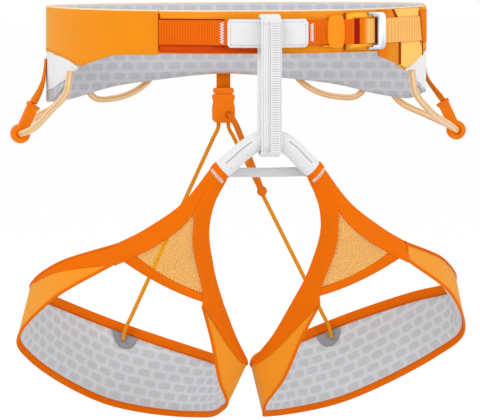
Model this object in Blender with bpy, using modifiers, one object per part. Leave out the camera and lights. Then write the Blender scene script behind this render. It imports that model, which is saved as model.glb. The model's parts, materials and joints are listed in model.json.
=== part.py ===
"""Climbing harness: waist belt, tie-in sleeve, belay loop, paired leg loops, seat clip and gear loops.

Metres, +Z up. The wearer faces -Y and the origin is the middle of the waist ring.
Run it with blender --background --python part.py, or from the text editor.
"""

import math

import bmesh
import bpy
import numpy as np
from mathutils import Matrix, Vector

# Clearance between pieces that lie on each other
GAP = 0.0003

# Waist ring seen from above: a deep half ellipse in front of its widest line, a shallow one behind
WAIST_HALF_WIDTH = 0.163
WAIST_FRONT_DEPTH = 0.146
WAIST_BACK_DEPTH = 0.054
WAIST_WIDEST_Y = 0.046

# Belt layers, and heights; angles are degrees from the front, positive towards +X
SHELL_THICKNESS = 0.0014
LINING_THICKNESS = 0.0055
BELT_TOP = 0.017
TONGUE_BOTTOM = -0.018
TONGUE_THICKNESS = 0.0028
WING_END_LEFT = -33.0
WING_END_RIGHT = 48.0
HIP_FLARE_LEFT = 63.0
HIP_FLARE_RIGHT = 51.0
# Lower edge near the flare: degrees past it, height
FLARE_EDGE = ((-14, -0.0195), (0, -0.027), (7, -0.042), (15, -0.057), (25, -0.062))
# Lower edge behind the hip: degrees from the front, height
BACK_EDGE = ((116, -0.060), (144, -0.050), (180, -0.043))
# Seam over the hip panel: degrees past the flare, height above the lower edge
HIP_SEAM = ((2, 0.0025), (7, 0.016), (14, 0.032), (22, 0.040), (30, 0.041), (50, 0.032), (66, 0.004))

# Load webbing with its bulge through the tie-in sleeve: degrees, height of its inner face
WEB_WIDTH = 0.021
WEB_THICKNESS = 0.0015
WEB_Z = -0.001
TIE_IN_STANDOFF = 0.0112
WEB_LEFT = ((-32.5, 0.0005), (-17, 0.0005), (-12.6, 0.0052))
WEB_RIGHT = ((12.6, 0.0052), (17, 0.0022), (23.4, 0.0023), (24.3, 0.0045), (27.55, 0.0045), (28.1, 0.0008))
SLEEVE_HALF_ANGLE = 12.2
SLEEVE_WALL = 0.0014
SLEEVE_PLAY = 0.0006

# Waist buckle, in its own place on the belt
BUCKLE_ANGLE = 29.2
BUCKLE_OFF = 0.0006
BUCKLE_HEIGHT = 0.0315
BUCKLE_PLATE = 0.0026
BUCKLE_RAIL = 0.0046
BUCKLE_LEFT_BAR = 0.0082
BUCKLE_SLOT = 0.0066
BUCKLE_BAR = 0.0078
BUCKLE_SLOT_X = -0.0016
LUG_REACH = 0.0036
FRAME_LENGTH = 0.0152
FRAME_BAR = 0.0082
FRAME_PLATE = 0.0022
FRAME_TILT = 10.0
FRAME_CORNER = 0.0038
EYE_RADIUS = 0.0017
PIN_RADIUS = 0.0006
PIN_PLAY = 0.0001
KEEPER_START = 18.0
KEEPER_END = 23.1
KEEPER_SWELL = 0.003
KEEPER_WALL = 0.0013
# Strap tail: degrees, height of its inner face
TAIL_LIFT = ((29.1, 0.0008), (29.65, 0.0042), (33, 0.0042), (35.4, 0.0016), (66.5, 0.0016))
ELASTIC_START = 38.0
ELASTIC_END = 47.0
ELASTIC_THICKNESS = 0.001
ELASTIC_OVERHANG = 0.002

# Belay loop
BELAY_WIDTH = 0.0175
BELAY_THICKNESS = 0.0032
BELAY_INNER_DEPTH = 0.0148
BELAY_INNER_LENGTH = 0.1135

# Leg tie-in; routes are measured from the middle of the arch where it hangs in the belay loop
ARCH_HEIGHT = 0.0165
ARCH_DEPTH = 0.0115
ARCH_ROUTE = (
    (-0.0389, 0.0105, -0.0251),
    (-0.0318, 0.0085, -0.0187),
    (-0.0182, 0.0028, -0.0062),
    (-0.0095, 0.0006, -0.0009),
    (0, 0, 0),
)
# How far the arch's sides dip below its middle where they leave the belay loop
ARCH_DIP = 0.0025
# How far its middle hangs ahead of the belay loop's middle
ARCH_AHEAD = 0.0008
BRIDGE_WIDTH = 0.008
BRIDGE_THICKNESS = 0.0016
BRIDGE_ROUTE = ((-0.0345, 0.0166, -0.0275), (0, 0.0185, -0.028), (0.0345, 0.0166, -0.0275))

# Left leg pad, upper and lower edge, from its outer seam round the back to its inner seam
LEG_PAD = (
    ((-0.122, 0.041, -0.088), (-0.1255, 0.036, -0.1035)),
    ((-0.168, 0.086, -0.1075), (-0.174, 0.079, -0.138)),
    ((-0.182, 0.126, -0.1285), (-0.193, 0.131, -0.173)),
    ((-0.156, 0.166, -0.1395), (-0.177, 0.163, -0.1925)),
    ((-0.091, 0.2035, -0.1655), (-0.106, 0.2015, -0.2325)),
    ((-0.017, 0.156, -0.1905), (-0.032, 0.175, -0.2435)),
    ((-0.0035, 0.104, -0.1955), (-0.0185, 0.125, -0.2365)),
    ((-0.0019, 0.091, -0.1929), (-0.0165, 0.105, -0.2285)),
    ((-0.0048, 0.087, -0.188), (-0.0258, 0.086, -0.2105)),
    ((-0.0174, 0.07, -0.1674), (-0.0383, 0.06, -0.1714)),
    ((-0.030, 0.056, -0.1407), (-0.050, 0.039, -0.1405)),
)
# Left leg straps: the outer edge and the edge at the mesh window
OUTER_STRAP_TOP = (
    (-0.045, 0.011, -0.0195),
    (-0.073, 0.018, -0.0545),
    (-0.1, 0.029, -0.0745),
    (-0.122, 0.041, -0.088),
)
OUTER_STRAP_LOW = (
    (-0.0403, 0.011, -0.0255),
    (-0.0592, 0.0142, -0.0548),
    (-0.064, 0.015, -0.062),
    (-0.1125, 0.031, -0.098),
    (-0.1255, 0.036, -0.1035),
)
INNER_STRAP_LOW = (
    (-0.0397, 0.011, -0.0264),
    (-0.0583, 0.0142, -0.0561),
    (-0.0622, 0.0152, -0.064),
    (-0.0525, 0.036, -0.131),
    (-0.05, 0.039, -0.1405),
)
INNER_STRAP_TOP = (
    (-0.0345, 0.011, -0.0335),
    (-0.0441, 0.016, -0.0534),
    (-0.0475, 0.021, -0.0712),
    (-0.0415, 0.036, -0.1075),
    (-0.030, 0.056, -0.1407),
)
PAD_COLUMNS = 50
LEG_SHELL_THICKNESS = 0.0014
LEG_LINING_THICKNESS = 0.005
STRAP_THICKNESS = 0.002
CROSS_BAND_THICKNESS = 0.0014
MESH_STRAND = 0.0009
MESH_CELLS = 7
BINDING_TOP = 0.0075
BINDING_LOW = 0.006
TAB_RADIUS = 0.012
TAB_THICKNESS = 0.0012
TAB_PLACE = 0.515

# Elastic risers and seat clip, behind the middle of the belt
RISER_RADIUS = 0.0017
RISER_WEB_WIDTH = 0.012
RISER_WEB_TOP = -0.022
CLIP_WIDTH = 0.0187
CLIP_DEPTH = 0.0074
CLIP_TOP = -0.0555
CLIP_BAR_WIDTH = 0.017
CLIP_BAR_HEIGHT = 0.0052
CLIP_BODY_HEIGHT = 0.0246
CLIP_WALL = 0.0018
CLIP_POCKET = 0.0028
CLIP_CAVITY = 0.0142
CLIP_ARM_LENGTH = 0.0125
CLIP_ARM_WIDTH = 0.003
CLIP_WINDOW = 0.007
CLIP_NOTCH = 0.001
CLIP_CORNER = 0.0045
CLIP_EAR = 0.0016
CORD_HOLE_X = 0.0044
CORD_SEAT = 0.0035
TAIL_RADIUS = 0.0026
TAIL_BALL = 1.65
TAIL_X = 0.0042
TAIL_DROP = 0.0178
# Pull tail from its hole in the clip's front face
TAIL_ROUTE = (
    (0, 0.0015, 0),
    (0.0005, -0.004, -0.0005),
    (0.0035, -0.0075, -0.006),
    (0.009, -0.0085, -0.019),
    (0.0255, -0.0085, -0.061),
)

# Gear loops: degrees (the first front ones past the flare), distance off the belt, height
GEAR_RADIUS = 0.003
FRONT_GEAR_START = ((3.5, 0.0038, -0.036), (5, 0.0044, -0.053), (12, 0.0085, -0.069))
FRONT_GEAR_END = (
    (79.5, 0.0205, -0.0855),
    (84.5, 0.0262, -0.09),
    (90, 0.0245, -0.0875),
    (104, 0.0135, -0.078),
    (117, 0.0056, -0.067),
    (124, 0.0038, -0.05),
)
REAR_GEAR = (
    (160, 0.0034, -0.036),
    (155.5, 0.0036, -0.0515),
    (144, 0.0036, -0.0635),
    (136, 0.0036, -0.0625),
    (131.5, 0.0034, -0.05),
    (130.5, 0.0034, -0.038),
)
HANGER_ANGLE = 84.5
HANGER_WIDTH = 0.011
HANGER_THICKNESS = 0.0022
# Hanger strap's inner face: degrees behind the ring, distance off the belt, height
HANGER_ROUTE = (
    (6.5, 0.0005, -0.019),
    (6.5, 0.0005, -0.034),
    (4.5, 0.0022, -0.047),
    (1.5, 0.0075, -0.0575),
    (0, 0.0128, -0.0655),
)
HANGER_NECK = 0.0092
HANGER_EAR = 0.0114
HANGER_EAR_HEIGHT = 0.003
HANGER_RING_RADIUS = 0.0082
HANGER_HOLE_RADIUS = 0.0041
HANGER_PLATE = 0.006

ORANGE = (0.9, 0.28, 0.014)
RED_ORANGE = (0.83, 0.11, 0.005)
PALE_ORANGE = (0.93, 0.45, 0.08)
WHITE = (0.88, 0.88, 0.88)
GREY = (0.56, 0.57, 0.6)
DARK_GREY = (0.25, 0.26, 0.28)
CREAM = (0.95, 0.75, 0.5)
OCHRE = (0.78, 0.24, 0.02)
SILVER = (0.75, 0.78, 0.82)
GOLD = (0.8, 0.42, 0.05)

SIDES = (("left", -1), ("right", 1))
BACK_Y = WAIST_WIDEST_Y + WAIST_BACK_DEPTH
FRONT_Y = WAIST_WIDEST_Y - WAIST_FRONT_DEPTH
SLEEVE_HALF = WEB_THICKNESS / 2 + SLEEVE_PLAY + SLEEVE_WALL
SLEEVE_HEIGHT = WEB_WIDTH + 2 * SLEEVE_PLAY + 2 * SLEEVE_WALL
BELAY_TOP = WEB_Z + SLEEVE_HEIGHT / 2 + GAP
BELAY_Y = FRONT_Y - TIE_IN_STANDOFF
HANG_Z = BELAY_TOP - BELAY_INNER_LENGTH + GAP + ARCH_DIP + ARCH_HEIGHT / 2
HANG = Vector((0, BELAY_Y - ARCH_AHEAD, HANG_Z))
CLIP_Y = BACK_Y + GAP + WEB_THICKNESS / 2
CLIP_BODY_TOP = CLIP_TOP - CLIP_BAR_HEIGHT - GAP


# Curves and places


def through(rows, where):
    """Points on a smooth curve through the rows, at fractions of its length."""
    rows = np.asarray(rows, float)
    steps = np.linalg.norm(np.diff(rows, axis=0), axis=1)
    knots = np.concatenate([[0], np.cumsum(steps)])
    slopes = np.gradient(rows, knots, axis=0)
    at = np.atleast_1d(where) * knots[-1]
    left = np.clip(np.searchsorted(knots, at, "right") - 1, 0, len(knots) - 2)
    span = (knots[left + 1] - knots[left])[:, None]
    f = (at - knots[left])[:, None] / span
    start = (1 + 2 * f) * (1 - f) ** 2 * rows[left] + f * (1 - f) ** 2 * span * slopes[left]
    end = f * f * (3 - 2 * f) * rows[left + 1] + f * f * (f - 1) * span * slopes[left + 1]
    return start + end


def along(rows, fraction):
    return Vector(through(rows, fraction)[0])


def knot_of(rows, index):
    """Fraction of the curve's length at one of its rows."""
    steps = np.linalg.norm(np.diff(np.asarray(rows, float), axis=0), axis=1)
    return float(steps[:index].sum() / steps.sum())


def waist(degrees, out, z):
    """A point on the belt: degrees from the front, distance off the shell's outer face, height."""
    turn = math.radians(degrees)
    depth = WAIST_FRONT_DEPTH if math.cos(turn) > 0 else WAIST_BACK_DEPTH
    normal = Vector((math.sin(turn) / WAIST_HALF_WIDTH, -math.cos(turn) / depth, 0)).normalized()
    place = Vector((WAIST_HALF_WIDTH * math.sin(turn), WAIST_WIDEST_Y - depth * math.cos(turn), z))
    return place + out * normal


def waist_frame(degrees, out, z):
    """Axes on the belt: x along it towards greater angles, y inwards, z up."""
    here = waist(degrees, out, z)
    inward = (here - waist(degrees, out + 0.01, z)).normalized()
    up = Vector((0, 0, 1))
    axes = Matrix((inward.cross(up), inward, up)).transposed().to_4x4()
    return Matrix.Translation(here) @ axes


def signed(degrees):
    return (degrees + 180) % 360 - 180


def flare_of(degrees):
    return HIP_FLARE_LEFT if signed(degrees) < 0 else HIP_FLARE_RIGHT


def lower_edge(degrees):
    """Height of the belt's lower edge."""
    flare = flare_of(degrees)
    knots = [0] + [flare + step for step, _ in FLARE_EDGE] + [turn for turn, _ in BACK_EDGE]
    heights = [TONGUE_BOTTOM] + [z for _, z in FLARE_EDGE] + [z for _, z in BACK_EDGE]
    return float(np.interp(abs(signed(degrees)), knots, heights))


def hip_seam(degrees):
    """Height of the seam over the hip panel, or of the lower edge where there is no panel."""
    steps, heights = zip(*HIP_SEAM)
    past = abs(signed(degrees)) - flare_of(degrees)
    return lower_edge(degrees) + float(np.interp(past, steps, heights, left=0, right=0))


def belt_top(_):
    return BELT_TOP


def belt_turns(first, last):
    """Angles of a belt band's columns: every 5 degrees, and where an edge bends."""
    bends = list(range(0, 360, 5))
    for side, flare in ((-1, HIP_FLARE_LEFT), (1, HIP_FLARE_RIGHT)):
        bends += [side * (flare + step) for step, _ in FLARE_EDGE + HIP_SEAM]
        bends += [side * turn for turn, _ in BACK_EDGE]
    turns = [first]
    for turn in sorted(bend % 360 + lap for bend in bends for lap in (-360, 0, 360)):
        if turns[-1] + 0.4 < turn < last - 0.4:
            turns.append(turn)
    return turns + [last]


def steps_through(knots, step):
    """The knots with evenly spaced values between them."""
    found = [knots[0]]
    for last in knots[1:]:
        first = found[-1]
        count = max(1, math.ceil((last - first) / step))
        found += [first + (last - first) * (i + 1) / count for i in range(count)]
    return found


def web_lift(degrees):
    """Height of the load webbing's inner face over the tongue."""
    if abs(degrees) <= SLEEVE_HALF_ANGLE:
        return sleeve_lift(degrees) - WEB_THICKNESS / 2
    knots, heights = zip(*(WEB_LEFT + WEB_RIGHT))
    return float(np.interp(degrees, knots, heights))


def sleeve_lift(degrees):
    """Height of the tie-in sleeve's middle over the tongue."""
    return TIE_IN_STANDOFF * math.cos(math.radians(56 * degrees / SLEEVE_HALF_ANGLE))


# Objects


def paint(obj, colour, roughness=0.75, metallic=0.0):
    material = bpy.data.materials.new(obj.name)
    material.use_nodes = True
    shader = material.node_tree.nodes["Principled BSDF"]
    shader.inputs["Base Color"].default_value = (*colour, 1)
    shader.inputs["Roughness"].default_value = roughness
    shader.inputs["Metallic"].default_value = metallic
    obj.data.materials.append(material)
    return obj


def add_mesh(name, bm, folder):
    mesh = bpy.data.meshes.new(name)
    bm.to_mesh(mesh)
    bm.free()
    obj = bpy.data.objects.new(name, mesh)
    folder.objects.link(obj)
    return obj


def bent_grid(shape, columns, rows):
    bm = bmesh.new()
    bmesh.ops.create_grid(bm, x_segments=columns, y_segments=rows, size=0.5)
    for vert in bm.verts:
        vert.co = shape(vert.co.x + 0.5, vert.co.y + 0.5)
    return bm


def sheet(name, shape, columns, rows, inner, outer, wrap=False, flip=False):
    """A grid bent by shape(u, v) and thickened between two distances along its normals."""
    bm = bent_grid(shape, columns, rows)
    if wrap:
        bmesh.ops.remove_doubles(bm, verts=bm.verts, dist=1e-6)
        bmesh.ops.recalc_face_normals(bm, faces=bm.faces)
    if flip:
        bmesh.ops.reverse_faces(bm, faces=bm.faces)
    obj = add_mesh(name, bm, PARTS)
    solid = obj.modifiers.new("Thickness", "SOLIDIFY")
    solid.thickness = outer - inner
    solid.offset = (outer + inner) / (outer - inner)
    solid.use_even_offset = True
    return obj


def rod(name, shape, columns, rows):
    """A closed body: a grid bent into a tube by shape(u, v), v going round it, with both ends filled."""
    bm = bent_grid(shape, columns, rows)
    bmesh.ops.remove_doubles(bm, verts=bm.verts, dist=1e-6)
    bmesh.ops.holes_fill(bm, edges=bm.edges, sides=0)
    bmesh.ops.recalc_face_normals(bm, faces=bm.faces)
    return add_mesh(name, bm, PARTS)


def belt_band(name, first, last, low, high, inner, outer, rows):
    turns = belt_turns(first, last)

    def shape(u, v):
        degrees = turns[round(u * (len(turns) - 1))]
        bottom = low(degrees)
        return waist(degrees, 0, bottom + v * (high(degrees) - bottom))

    return sheet(name, shape, len(turns) - 1, rows, inner, outer)


def tube(name, points, radius, radii=None):
    curve = bpy.data.curves.new(name, "CURVE")
    curve.dimensions = "3D"
    curve.bevel_depth = radius
    curve.bevel_resolution = 2
    curve.use_fill_caps = True
    spline = curve.splines.new("POLY")
    spline.points.add(len(points) - 1)
    for i, place in enumerate(points):
        spline.points[i].co = (*place, 1)
        if radii is not None:
            spline.points[i].radius = radii[i]
    obj = bpy.data.objects.new(name, curve)
    PARTS.objects.link(obj)
    return obj


def plate(name, outlines, thickness, frame):
    """A flat piece from closed outlines, thick along its frame's z axis."""
    curve = bpy.data.curves.new(name, "CURVE")
    curve.dimensions = "2D"
    curve.fill_mode = "BOTH"
    curve.extrude = thickness / 2
    for outline in outlines:
        spline = curve.splines.new("POLY")
        spline.points.add(len(outline) - 1)
        for point, (x, y) in zip(spline.points, outline):
            point.co = (x, y, 0, 1)
        spline.use_cyclic_u = True
    helper = bpy.data.objects.new(name + "_outline", curve)
    PARTS.objects.link(helper)
    graph = bpy.context.evaluated_depsgraph_get()
    mesh = bpy.data.meshes.new_from_object(helper.evaluated_get(graph))
    bpy.data.objects.remove(helper)
    bm = bmesh.new()
    bm.from_mesh(mesh)
    bpy.data.meshes.remove(mesh)
    bmesh.ops.remove_doubles(bm, verts=bm.verts, dist=1e-6)
    bmesh.ops.recalc_face_normals(bm, faces=bm.faces)
    obj = add_mesh(name, bm, PARTS)
    obj.matrix_world = frame
    return obj


def block(name, centre, size):
    bm = bmesh.new()
    bmesh.ops.create_cube(bm, size=1, matrix=Matrix.Diagonal((*size, 1)))
    obj = add_mesh(name, bm, PARTS)
    obj.location = centre
    return obj


def subtract(obj, name, bm):
    cutter = add_mesh(obj.name + "_" + name, bm, CUTTERS)
    cutter.hide_render = True
    cutter.display_type = "WIRE"
    modifier = obj.modifiers.new(name, "BOOLEAN")
    modifier.operation = "DIFFERENCE"
    modifier.object = cutter


def cut_box(obj, name, centre, size):
    bm = bmesh.new()
    bmesh.ops.create_cube(bm, size=1, matrix=Matrix.Translation(centre) @ Matrix.Diagonal((*size, 1)))
    subtract(obj, name, bm)


def cut_hole(obj, name, centre, radius, length, axis):
    turn = Vector((0, 0, 1)).rotation_difference(Vector(axis)).to_matrix().to_4x4()
    bm = bmesh.new()
    bmesh.ops.create_cone(
        bm,
        cap_ends=True,
        segments=16,
        radius1=radius,
        radius2=radius,
        depth=length,
        matrix=Matrix.Translation(centre) @ turn,
    )
    subtract(obj, name, bm)


def hang_on(name, place, pieces):
    """Puts moving pieces under an empty on their joint."""
    pivot = bpy.data.objects.new(name, None)
    pivot.empty_display_size = 0.01
    pivot.location = place
    PARTS.objects.link(pivot)
    for piece in pieces:
        piece.parent = pivot
        piece.matrix_parent_inverse = Matrix.Translation(place).inverted()


def arc(centre, radius, first, last, steps):
    turns = [math.radians(first + (last - first) * i / steps) for i in range(steps + 1)]
    return [(centre[0] + radius * math.cos(turn), centre[1] + radius * math.sin(turn)) for turn in turns]


def rounded(left, right, low, high, radius):
    return (
        arc((right - radius, high - radius), radius, 0, 90, 3)
        + arc((left + radius, high - radius), radius, 90, 180, 3)
        + arc((left + radius, low + radius), radius, 180, 270, 3)
        + arc((right - radius, low + radius), radius, 270, 360, 3)
    )


# Waist belt


def build_belt():
    first = WING_END_RIGHT
    last = 360 + WING_END_LEFT
    lining_face = -SHELL_THICKNESS - GAP
    lining = belt_band(
        "belt_lining", first, last, lower_edge, belt_top, lining_face - LINING_THICKNESS, lining_face, 2
    )
    paint(lining, GREY)

    def shell_low(degrees):
        seam = hip_seam(degrees)
        return seam + GAP if seam > lower_edge(degrees) else seam

    paint(belt_band("belt_shell", first, last, shell_low, belt_top, -SHELL_THICKNESS, 0, 2), ORANGE)
    for name, side in SIDES:
        flare = HIP_FLARE_LEFT if side < 0 else HIP_FLARE_RIGHT
        ends = sorted(side * (flare + step) % 360 for step in (HIP_SEAM[0][0], HIP_SEAM[-1][0]))
        panel = belt_band(f"hip_panel_{name}", *ends, lower_edge, hip_seam, -SHELL_THICKNESS, 0, 2)
        paint(panel, WHITE)

    ends = (WING_END_LEFT + 0.15, WING_END_RIGHT - 0.15)
    tongue = belt_band("front_tongue", *ends, lambda _: TONGUE_BOTTOM, belt_top, -TONGUE_THICKNESS, 0, 1)
    paint(tongue, RED_ORANGE)
    elastic = belt_band(
        "elastic_keeper",
        ELASTIC_START,
        ELASTIC_END,
        lambda _: TONGUE_BOTTOM - ELASTIC_OVERHANG,
        lambda _: BELT_TOP + ELASTIC_OVERHANG,
        GAP,
        GAP + ELASTIC_THICKNESS,
        1,
    )
    paint(elastic, ORANGE)


def build_webbing():
    low = WEB_Z - WEB_WIDTH / 2
    knots = [turn for turn, _ in WEB_LEFT] + [-SLEEVE_HALF_ANGLE, SLEEVE_HALF_ANGLE]
    web_turns = steps_through(knots + [turn for turn, _ in WEB_RIGHT], 2)

    def web(u, v):
        degrees = web_turns[round(u * (len(web_turns) - 1))]
        return waist(degrees, web_lift(degrees), low + v * WEB_WIDTH)

    paint(sheet("load_webbing", web, len(web_turns) - 1, 1, 0, WEB_THICKNESS), RED_ORANGE)

    section = []
    for sign in (-1, 1):
        for step in range(6):
            turn = math.pi * (step / 5 + (sign > 0))
            rise = SLEEVE_HALF * math.sin(turn)
            section.append((SLEEVE_HALF * math.cos(turn), sign * (SLEEVE_HEIGHT / 2 - SLEEVE_HALF) - rise))
    section.append(section[0])

    def sleeve(u, v):
        degrees = SLEEVE_HALF_ANGLE * (2 * u - 1)
        out, z = section[round(v * (len(section) - 1))]
        return waist(degrees, sleeve_lift(degrees) + out, WEB_Z + z)

    paint(sheet("tie_in_sleeve", sleeve, 16, len(section) - 1, -SLEEVE_WALL, 0, wrap=True), WHITE)

    knots, heights = zip(*TAIL_LIFT)
    tail_turns = steps_through(knots, 2)

    def tail(u, v):
        degrees = tail_turns[round(u * (len(tail_turns) - 1))]
        return waist(degrees, float(np.interp(degrees, knots, heights)), low + v * WEB_WIDTH)

    paint(sheet("strap_tail", tail, len(tail_turns) - 1, 1, 0, WEB_THICKNESS), PALE_ORANGE)

    half = WEB_THICKNESS / 2 + SLEEVE_PLAY + KEEPER_WALL
    middle = web_lift((KEEPER_START + KEEPER_END) / 2) + WEB_THICKNESS / 2

    def keeper(u, v):
        degrees = KEEPER_START + u * (KEEPER_END - KEEPER_START)
        reach = WEB_WIDTH / 2 + SLEEVE_PLAY + KEEPER_WALL + KEEPER_SWELL * math.sin(math.pi * u)
        turn = 2 * math.pi * v
        height = reach * max(-1, min(1, 1.25 * math.sin(turn)))
        return waist(degrees, middle + half * max(-1, min(1, 1.6 * math.cos(turn))), WEB_Z + height)

    paint(sheet("rubber_keeper", keeper, 6, 20, -KEEPER_WALL, 0, wrap=True), ORANGE, 0.5)


def build_buckle():
    frame = waist_frame(BUCKLE_ANGLE, BUCKLE_OFF + BUCKLE_PLATE / 2, WEB_Z)
    upright = Matrix.Rotation(math.radians(90), 4, "X")
    half = BUCKLE_HEIGHT / 2
    slot = (BUCKLE_SLOT_X - BUCKLE_SLOT / 2, BUCKLE_SLOT_X + BUCKLE_SLOT / 2)
    left = slot[0] - BUCKLE_LEFT_BAR
    bar_end = slot[1] + BUCKLE_BAR
    hinge = bar_end + LUG_REACH
    window = half - BUCKLE_RAIL
    lug = half - BUCKLE_RAIL / 2 - GAP / 2
    arm = lug + GAP
    outline = [
        (left, -half),
        (bar_end, -half),
        (bar_end, -lug),
        (hinge + EYE_RADIUS, -lug),
        (hinge + EYE_RADIUS, -window),
        (bar_end, -window),
        (bar_end, window),
        (hinge + EYE_RADIUS, window),
        (hinge + EYE_RADIUS, lug),
        (bar_end, lug),
        (bar_end, half),
        (left, half),
    ]
    slot_outline = rounded(slot[0], slot[1], GAP - window, window - GAP, 0.001)
    base = plate("buckle_base", [outline, slot_outline], BUCKLE_PLATE, frame @ upright)
    paint(base, GOLD, 0.35, 1.0)

    pivot = frame @ Vector((hinge, 0, 0))
    swing = frame.copy()
    swing.translation = pivot
    swing = swing @ Matrix.Rotation(math.radians(-FRAME_TILT), 4, "Z")
    corner = FRAME_LENGTH - FRAME_CORNER
    outline = [(-EYE_RADIUS, -half)]
    outline += arc((corner, FRAME_CORNER - half), FRAME_CORNER, 270, 360, 5)
    outline += arc((corner, half - FRAME_CORNER), FRAME_CORNER, 0, 90, 5)
    outline += [
        (-EYE_RADIUS, half),
        (-EYE_RADIUS, arm),
        (FRAME_LENGTH - FRAME_BAR, arm),
        (FRAME_LENGTH - FRAME_BAR, -arm),
        (-EYE_RADIUS, -arm),
    ]
    loose = plate("buckle_frame", [outline], FRAME_PLATE, swing @ upright)
    paint(loose, SILVER, 0.3, 1.0)
    middle = (window + half) / 2
    length = half - window - 2 * GAP
    for name, sign in (("lower", -1), ("upper", 1)):
        place = pivot + Vector((0, 0, sign * middle))
        for piece in (base, loose):
            cut_hole(piece, f"pin_hole_{name}", place, PIN_RADIUS + PIN_PLAY, 4 * BUCKLE_RAIL, (0, 0, 1))
        ends = [place - Vector((0, 0, length / 2)), place + Vector((0, 0, length / 2))]
        paint(tube(f"buckle_pin_{name}", ends, PIN_RADIUS), SILVER, 0.3, 1.0)
    hang_on("buckle_frame_pivot", pivot, [loose])


def build_belay_loop():
    half = BELAY_INNER_DEPTH / 2 + BELAY_THICKNESS
    top = BELAY_TOP - BELAY_INNER_DEPTH / 2
    low = BELAY_TOP - BELAY_INNER_LENGTH + BELAY_INNER_DEPTH / 2
    path = arc((BELAY_Y, top), half, 0, 180, 12) + arc((BELAY_Y, low), half, 180, 360, 12)
    path.append(path[0])

    def shape(u, v):
        y, z = path[round(v * (len(path) - 1))]
        return Vector(((u - 0.5) * BELAY_WIDTH, y, z))

    loop = sheet("belay_loop", shape, 1, len(path) - 1, -BELAY_THICKNESS, 0, wrap=True)
    paint(loop, WHITE)
    hang_on("belay_loop_pivot", (0, BELAY_Y, BELAY_TOP), [loop])


# Leg loops


def mirrored(point, side):
    return HANG + Vector((-side * point[0], point[1], point[2]))


def pad_edges(u):
    """Points on the pad's upper and lower edge, on one line across it."""
    both = through([(*upper, *lower) for upper, lower in LEG_PAD], u)[0]
    return Vector(both[:3]), Vector(both[3:])


def pad_point(u, v, side):
    upper, lower = pad_edges(u)
    return mirrored(lower.lerp(upper, v), side)


def pad_inset(u, top, low):
    """Fractions of the pad's height that leave a binding at its upper and lower edge."""
    upper, lower = pad_edges(u)
    height = (upper - lower).length
    return low / max(height, 3 * low), 1 - top / max(height, 3 * top)


def build_leg(name, side):
    flip = side < 0

    def shell(u, v):
        return pad_point(0.002 + 0.996 * u, v, side)

    def lining(u, v):
        u = 0.002 + 0.996 * (1 + u * (PAD_COLUMNS - 2)) / PAD_COLUMNS
        low, high = pad_inset(u, BINDING_TOP, BINDING_LOW)
        return pad_point(u, low + v * (high - low), side)

    face = -LEG_SHELL_THICKNESS - GAP
    back = face - LEG_LINING_THICKNESS
    pieces = [
        paint(sheet(f"leg_shell_{name}", shell, PAD_COLUMNS, 2, -LEG_SHELL_THICKNESS, 0, flip=flip), ORANGE),
        paint(sheet(f"leg_lining_{name}", lining, PAD_COLUMNS - 2, 2, back, face, flip=flip), GREY),
    ]

    edge = through([lower for _, lower in LEG_PAD], np.linspace(0, 1, 80))
    length = np.linalg.norm(np.diff(edge, axis=0), axis=1).sum()

    def tab(u, v):
        x = TAB_RADIUS * 0.985 * (2 * u - 1)
        place = TAB_PLACE + x / length
        low, high = pad_inset(place, BINDING_TOP, BINDING_LOW)
        drop = v * math.sqrt(TAB_RADIUS**2 - x * x)
        height = (pad_point(place, 1, side) - pad_point(place, 0, side)).length
        return pad_point(place, high - drop / height, side)

    tab_face = back - 2 * GAP
    patch = sheet(f"riser_tab_{name}", tab, 12, 3, tab_face - TAB_THICKNESS, tab_face, flip=not flip)
    pieces.append(paint(patch, DARK_GREY))

    half = STRAP_THICKNESS / 2
    straps = (("outer", OUTER_STRAP_LOW, OUTER_STRAP_TOP), ("inner", INNER_STRAP_TOP, INNER_STRAP_LOW))
    for strap, low, high in straps:

        def band(u, v, low=low, high=high):
            u *= 0.994
            return mirrored(along(low, u).lerp(along(high, u), v), side)

        pieces.append(paint(sheet(f"leg_strap_{strap}_{name}", band, 22, 1, -half, half), ORANGE))

    split = (knot_of(OUTER_STRAP_LOW, 2), knot_of(INNER_STRAP_LOW, 2))
    cross = (knot_of(OUTER_STRAP_LOW, 3), knot_of(INNER_STRAP_LOW, 3))

    def window(u, outer, inner, margin):
        first = along(OUTER_STRAP_LOW, outer)
        last = along(INNER_STRAP_LOW, inner)
        inset = margin / max((last - first).length, 0.001)
        return mirrored(first.lerp(last, inset + u * (1 - 2 * inset)), side)

    def net(u, v):
        v = 0.14 + 0.83 * v
        outer = split[0] + v * (cross[0] - split[0])
        inner = split[1] + v * (cross[1] - split[1])
        return window(u, outer, inner, 4.5 * GAP)

    def low_band(u, v):
        v = 0.01 + 0.94 * v
        return window(u, cross[0] + v * (1 - cross[0]), cross[1] + v * (1 - cross[1]), 5.5 * GAP)

    bm = bent_grid(net, MESH_CELLS, MESH_CELLS)
    mesh = add_mesh(f"leg_mesh_{name}", bm, PARTS)
    wires = mesh.modifiers.new("Strands", "WIREFRAME")
    wires.thickness = MESH_STRAND
    wires.use_boundary = True
    wires.use_even_offset = True
    pieces.append(paint(mesh, ORANGE))
    half = CROSS_BAND_THICKNESS / 2
    pieces.append(paint(sheet(f"leg_cross_band_{name}", low_band, 10, 1, -half, half), ORANGE))
    return pieces


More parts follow.
